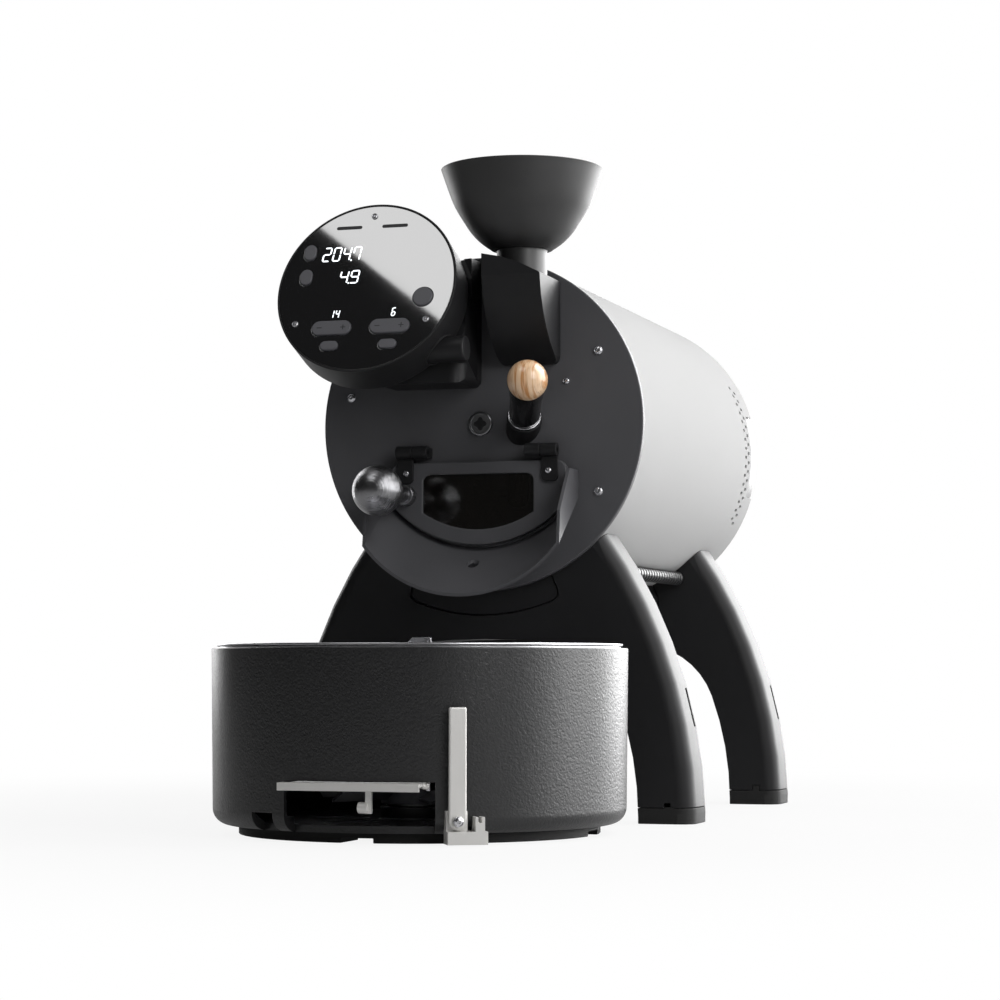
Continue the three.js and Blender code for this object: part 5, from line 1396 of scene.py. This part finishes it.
class ROASTER_OT_inside(PieceOperator, bpy.types.Operator):
    """Dresses the pieces inside the drum's shell and the duct"""

    bl_idname = "roaster.make_inside"
    bl_label = "Inside"

    dressed = {
        "rear_bulkhead": ("dark_steel", 0.5),
        "rear_bearing": ("brushed_steel", 0.4),
        "drum": ("brushed_steel", 0.3),
        "drum_shaft": ("brushed_steel", 0.4),
        "drum_pulley": ("dark_steel", 0.5),
        "motor_pulley": ("brushed_steel", 0.4),
        "drum_motor": ("dark_steel", 0.8),
        "drive_belt": ("rubber", 0.4),
        "exhaust_fan": ("grey_plastic", 0.3),
        "insulation_jacket": ("mineral_wool", 1.0),
        "heater_ring": ("dark_steel", 0.4),
        "control_board": ("circuit_green", 0.3),
    }

    def execute(self, context):
        for node, (finish, bevel) in self.dressed.items():
            refine(node, finish, bevel)
        return {"FINISHED"}


class ROASTER_OT_screws(PieceOperator, bpy.types.Operator):
    """Sets the visible screws"""

    bl_idname = "roaster.make_screws"
    bl_label = "Screws"

    def execute(self, context):
        front = Vector((0, -1, 0))
        large, small = measure("plate_screw"), measure("small_screw")
        plate = [((x, FACE, AXIS + z), front, large) for x in (-98.5, 98.5) for z in (-56.3, 56.3)]
        plate.append(((-111.3, FACE, 343.2), front, large))
        plate.append(((71.8, FACE, 351.6), front, large * 0.74))
        rear = []
        for i in range(6):
            spot = Matrix.Rotation(math.radians(30 + 60 * i), 2) @ Vector((122, 0))
            rear.append(((spot.x, SHELL_REAR + 2.3, AXIS + spot.y), -front, small))
        leaves = [((x, FACE - 11.3, 279.3), front, small) for x in (-60, 60)]
        out = DISPLAY.to_3x3().col[2]
        spots = [DISPLAY @ Vector((x, y, GLASS_FACE)) for x, y in ((-1, 64), (-56, -31), (54, -31))]
        glass = [(spot, out, 5) for spot in spots]
        wall = tray_wall(LEVER_BEARING)
        pin = [(wall @ Vector((0, LEVER_PIVOT, 10.7)), wall.to_3x3().col[2], 7.4)]
        for name, places, node in (
            ("plate_screws", plate, "front_plate"),
            ("cover_screws", rear, "rear_cover"),
            ("leaf_screws", leaves, "left_hinge_leaf"),
            ("glass_screws", glass, "display_glass"),
            ("lever_screw", pin, "lever_bracket"),
        ):
            show(name, fasteners(screw_head(), places), "screw_steel", node, smooth=40)
        return {"FINISHED"}


class ROASTER_OT_studio(bpy.types.Operator):
    """Sets the floor, the room, the lamps and the camera"""

    bl_idname = "roaster.make_studio"
    bl_label = "Studio"

    def execute(self, context):
        light = context.scene.roaster_studio
        target = Vector((0, -0.08, 0.24))
        lamps = {
            "rim": ((0.9, 1.5, 0.6), 0.9, 1.2),
            "side": ((1.65, 0.2, 0.7), 0.6, 1.4),
            "right": ((1.15, -1.05, 0.95), 0.6, 1.2),
            "left": ((-1.5, 1.1, 0.8), 0.6, 1.5),
            "top": ((1.0, 0.3, 1.5), 0.8, 0.8),
        }
        for name, (place, width, height) in lamps.items():
            turn = aimed_from(Vector(place), target)
            add_lamp(f"{name}_lamp", place, turn, width, height, getattr(light, name))
        add_card(light.front)
        add_floor()
        add_room(light.room, light.glow)
        camera = bpy.data.objects.new("camera", bpy.data.cameras.new("camera"))
        context.scene.collection.objects.link(camera)
        camera.location = CAMERA_PLACE * MM
        camera.rotation_euler = CAMERA_TURN
        camera.data.lens = 98
        camera.data.sensor_width = 36
        context.scene.camera = camera
        context.scene.view_settings.view_transform = "Standard"
        return {"FINISHED"}


def aimed_from(place, target):
    """The turn of an upright lamp at a place that shines at the target."""
    back = (place - target).normalized()
    across = Vector((0, 0, 1)).cross(back).normalized()
    return Matrix((across, back.cross(across), back)).transposed()


def add_lamp(name, place, turn, width, height, power):
    """A rectangular lamp, with its lengths in metres."""
    data = bpy.data.lights.new(name, "AREA")
    data.shape = "RECTANGLE"
    data.size = width
    data.size_y = height
    data.energy = power
    lamp = bpy.data.objects.new(name, data)
    bpy.context.scene.collection.objects.link(lamp)
    lamp.location = place
    lamp.rotation_euler = turn.to_euler()


def add_card(power):
    """A lamp over the front left whose lower left edge is mirrored across the display's glass.

    The mirrored edge runs through the first two spots on the glass, and the third is on its lit side.
    """
    distance, width, height = 1500, 900, 620
    out = DISPLAY.to_3x3().col[2]
    spots = [DISPLAY @ Vector((x, y, GLASS_FACE)) for x, y in ((-44.6, 54.6), (64.5, -31.8), (30, 40))]
    rays = [(spot - CAMERA_PLACE).reflect(out).normalized() for spot in spots]
    middle = sum(rays, Vector()).normalized()
    centre = sum(spots, Vector()) / 3
    hits = []
    for spot, ray in zip(spots, rays):
        share = (distance - (spot - centre).dot(middle)) / ray.dot(middle)
        hits.append(spot + ray * share)
    edge = (hits[1] - hits[0]).normalized()
    across = hits[2] - hits[0]
    inward = (across - across.project(edge)).normalized()
    place = (hits[0] + hits[1]) / 2 + inward * (height / 2)
    turn = Matrix((edge, middle.cross(edge).normalized(), middle)).transposed()
    add_lamp("front_card", place * MM, turn, width * MM, height * MM, power)


def studio_share(graph):
    """1 for the rays that show the background as white: the camera's, and those that glass lets through."""
    kinds = ("Is Camera Ray", "Is Transmission Ray")
    rays = [graph.add("ShaderNodeLightPath", output=kind) for kind in kinds]
    return rays[0].math("MAXIMUM", *rays)


def add_floor():
    """A floor just under the feet, white for the camera and weak in gloss."""
    form = bmesh.new()
    bmesh.ops.create_grid(form, x_segments=1, y_segments=1, size=20)
    floor = as_object(placed(form, at(0, 0, -0.0002)), "floor")
    finish = Finish("floor_paint", {"Roughness": 0.7, "Specular IOR Level": 0.2})
    grain = finish.noise(30, 2)
    finish.feed("Base Color", finish.blend(grain, (0.6, 0.6, 0.6, 1), (0.64, 0.64, 0.64, 1)))
    glow = finish.add("ShaderNodeEmission", values={"Color": (1, 1, 1, 1), "Strength": 1.0})
    away = finish.add("ShaderNodeVectorMath", {"operation": "LENGTH"}, [finish.place], output="Value")
    far = finish.ramp(away, 0.35, 1.1)
    gloss = finish.add("ShaderNodeLightPath", output="Is Glossy Ray")
    seen = studio_share(finish)
    shown = seen.math("MAXIMUM", seen, gloss)
    share = shown * (0.89 + 0.11 * far) * (1 - 0.8 * gloss)
    surface = Value(finish, finish.shader.outputs[0])
    mixed = finish.add("ShaderNodeMixShader", values=[share, surface, glow])
    finish.join(mixed, finish.tree.nodes["Material Output"].inputs["Surface"])
    floor.data.materials.append(finish.material)


def add_room(strength, glow):
    """White behind the object, and for gloss a wall that glows behind the right and is dark in front."""
    world = bpy.data.worlds.new("room")
    bpy.context.scene.world = world
    world.use_nodes = True
    graph = Graph(world.node_tree)
    direction = graph.add("ShaderNodeTexCoord", output="Generated")
    rear_right = (0.64, 0.77, 0)
    settings = {"operation": "DOT_PRODUCT"}
    aim = graph.add("ShaderNodeVectorMath", settings, [direction, rear_right], output="Value")
    back = graph.ramp(aim, 0.3, 0.95)
    gloss = graph.add("ShaderNodeLightPath", output="Is Glossy Ray")
    shown = studio_share(graph)
    level = shown + (1 - shown) * (strength + glow * (gloss * back))
    background = world.node_tree.nodes["Background"]
    background.inputs["Color"].default_value = (1, 1, 1, 1)
    graph.join(level, background.inputs["Strength"])


PIECE_OPERATORS = (
    ROASTER_OT_head,
    ROASTER_OT_rear,
    ROASTER_OT_stand,
    ROASTER_OT_feed,
    ROASTER_OT_display,
    ROASTER_OT_bracket,
    ROASTER_OT_trier,
    ROASTER_OT_door,
    ROASTER_OT_trough,
    ROASTER_OT_tray,
    ROASTER_OT_inside,
    ROASTER_OT_screws,
    ROASTER_OT_studio,
)


class ROASTER_PT_panel(bpy.types.Panel):
    """The roaster's pieces, sizes and colours"""

    bl_idname = "ROASTER_PT_panel"
    bl_label = "Coffee Roaster"
    bl_space_type = "VIEW_3D"
    bl_region_type = "UI"
    bl_category = "Roaster"

    def draw(self, context):
        for operator in PIECE_OPERATORS:
            self.layout.operator(operator.bl_idname)
        for group_name in GROUPS:
            group = getattr(context.scene, group_name)
            box = self.layout.box()
            for name in group.__annotations__:
                box.prop(group, name)


GROUPS = {"roaster_sizes": RoasterSizes, "roaster_finishes": RoasterFinishes, "roaster_studio": RoasterStudio}
CLASSES = (*GROUPS.values(), *PIECE_OPERATORS, ROASTER_PT_panel)


def register():
    for one in CLASSES:
        bpy.utils.register_class(one)
    for name, group in GROUPS.items():
        setattr(bpy.types.Scene, name, bpy.props.PointerProperty(type=group))


def unregister():
    for name in GROUPS:
        delattr(bpy.types.Scene, name)
    for one in reversed(CLASSES):
        bpy.utils.unregister_class(one)


def main():
    register()
    for operator in PIECE_OPERATORS:
        family, _, name = operator.bl_idname.partition(".")
        getattr(getattr(bpy.ops, family), name)()


if __name__ == "__main__":
    main()
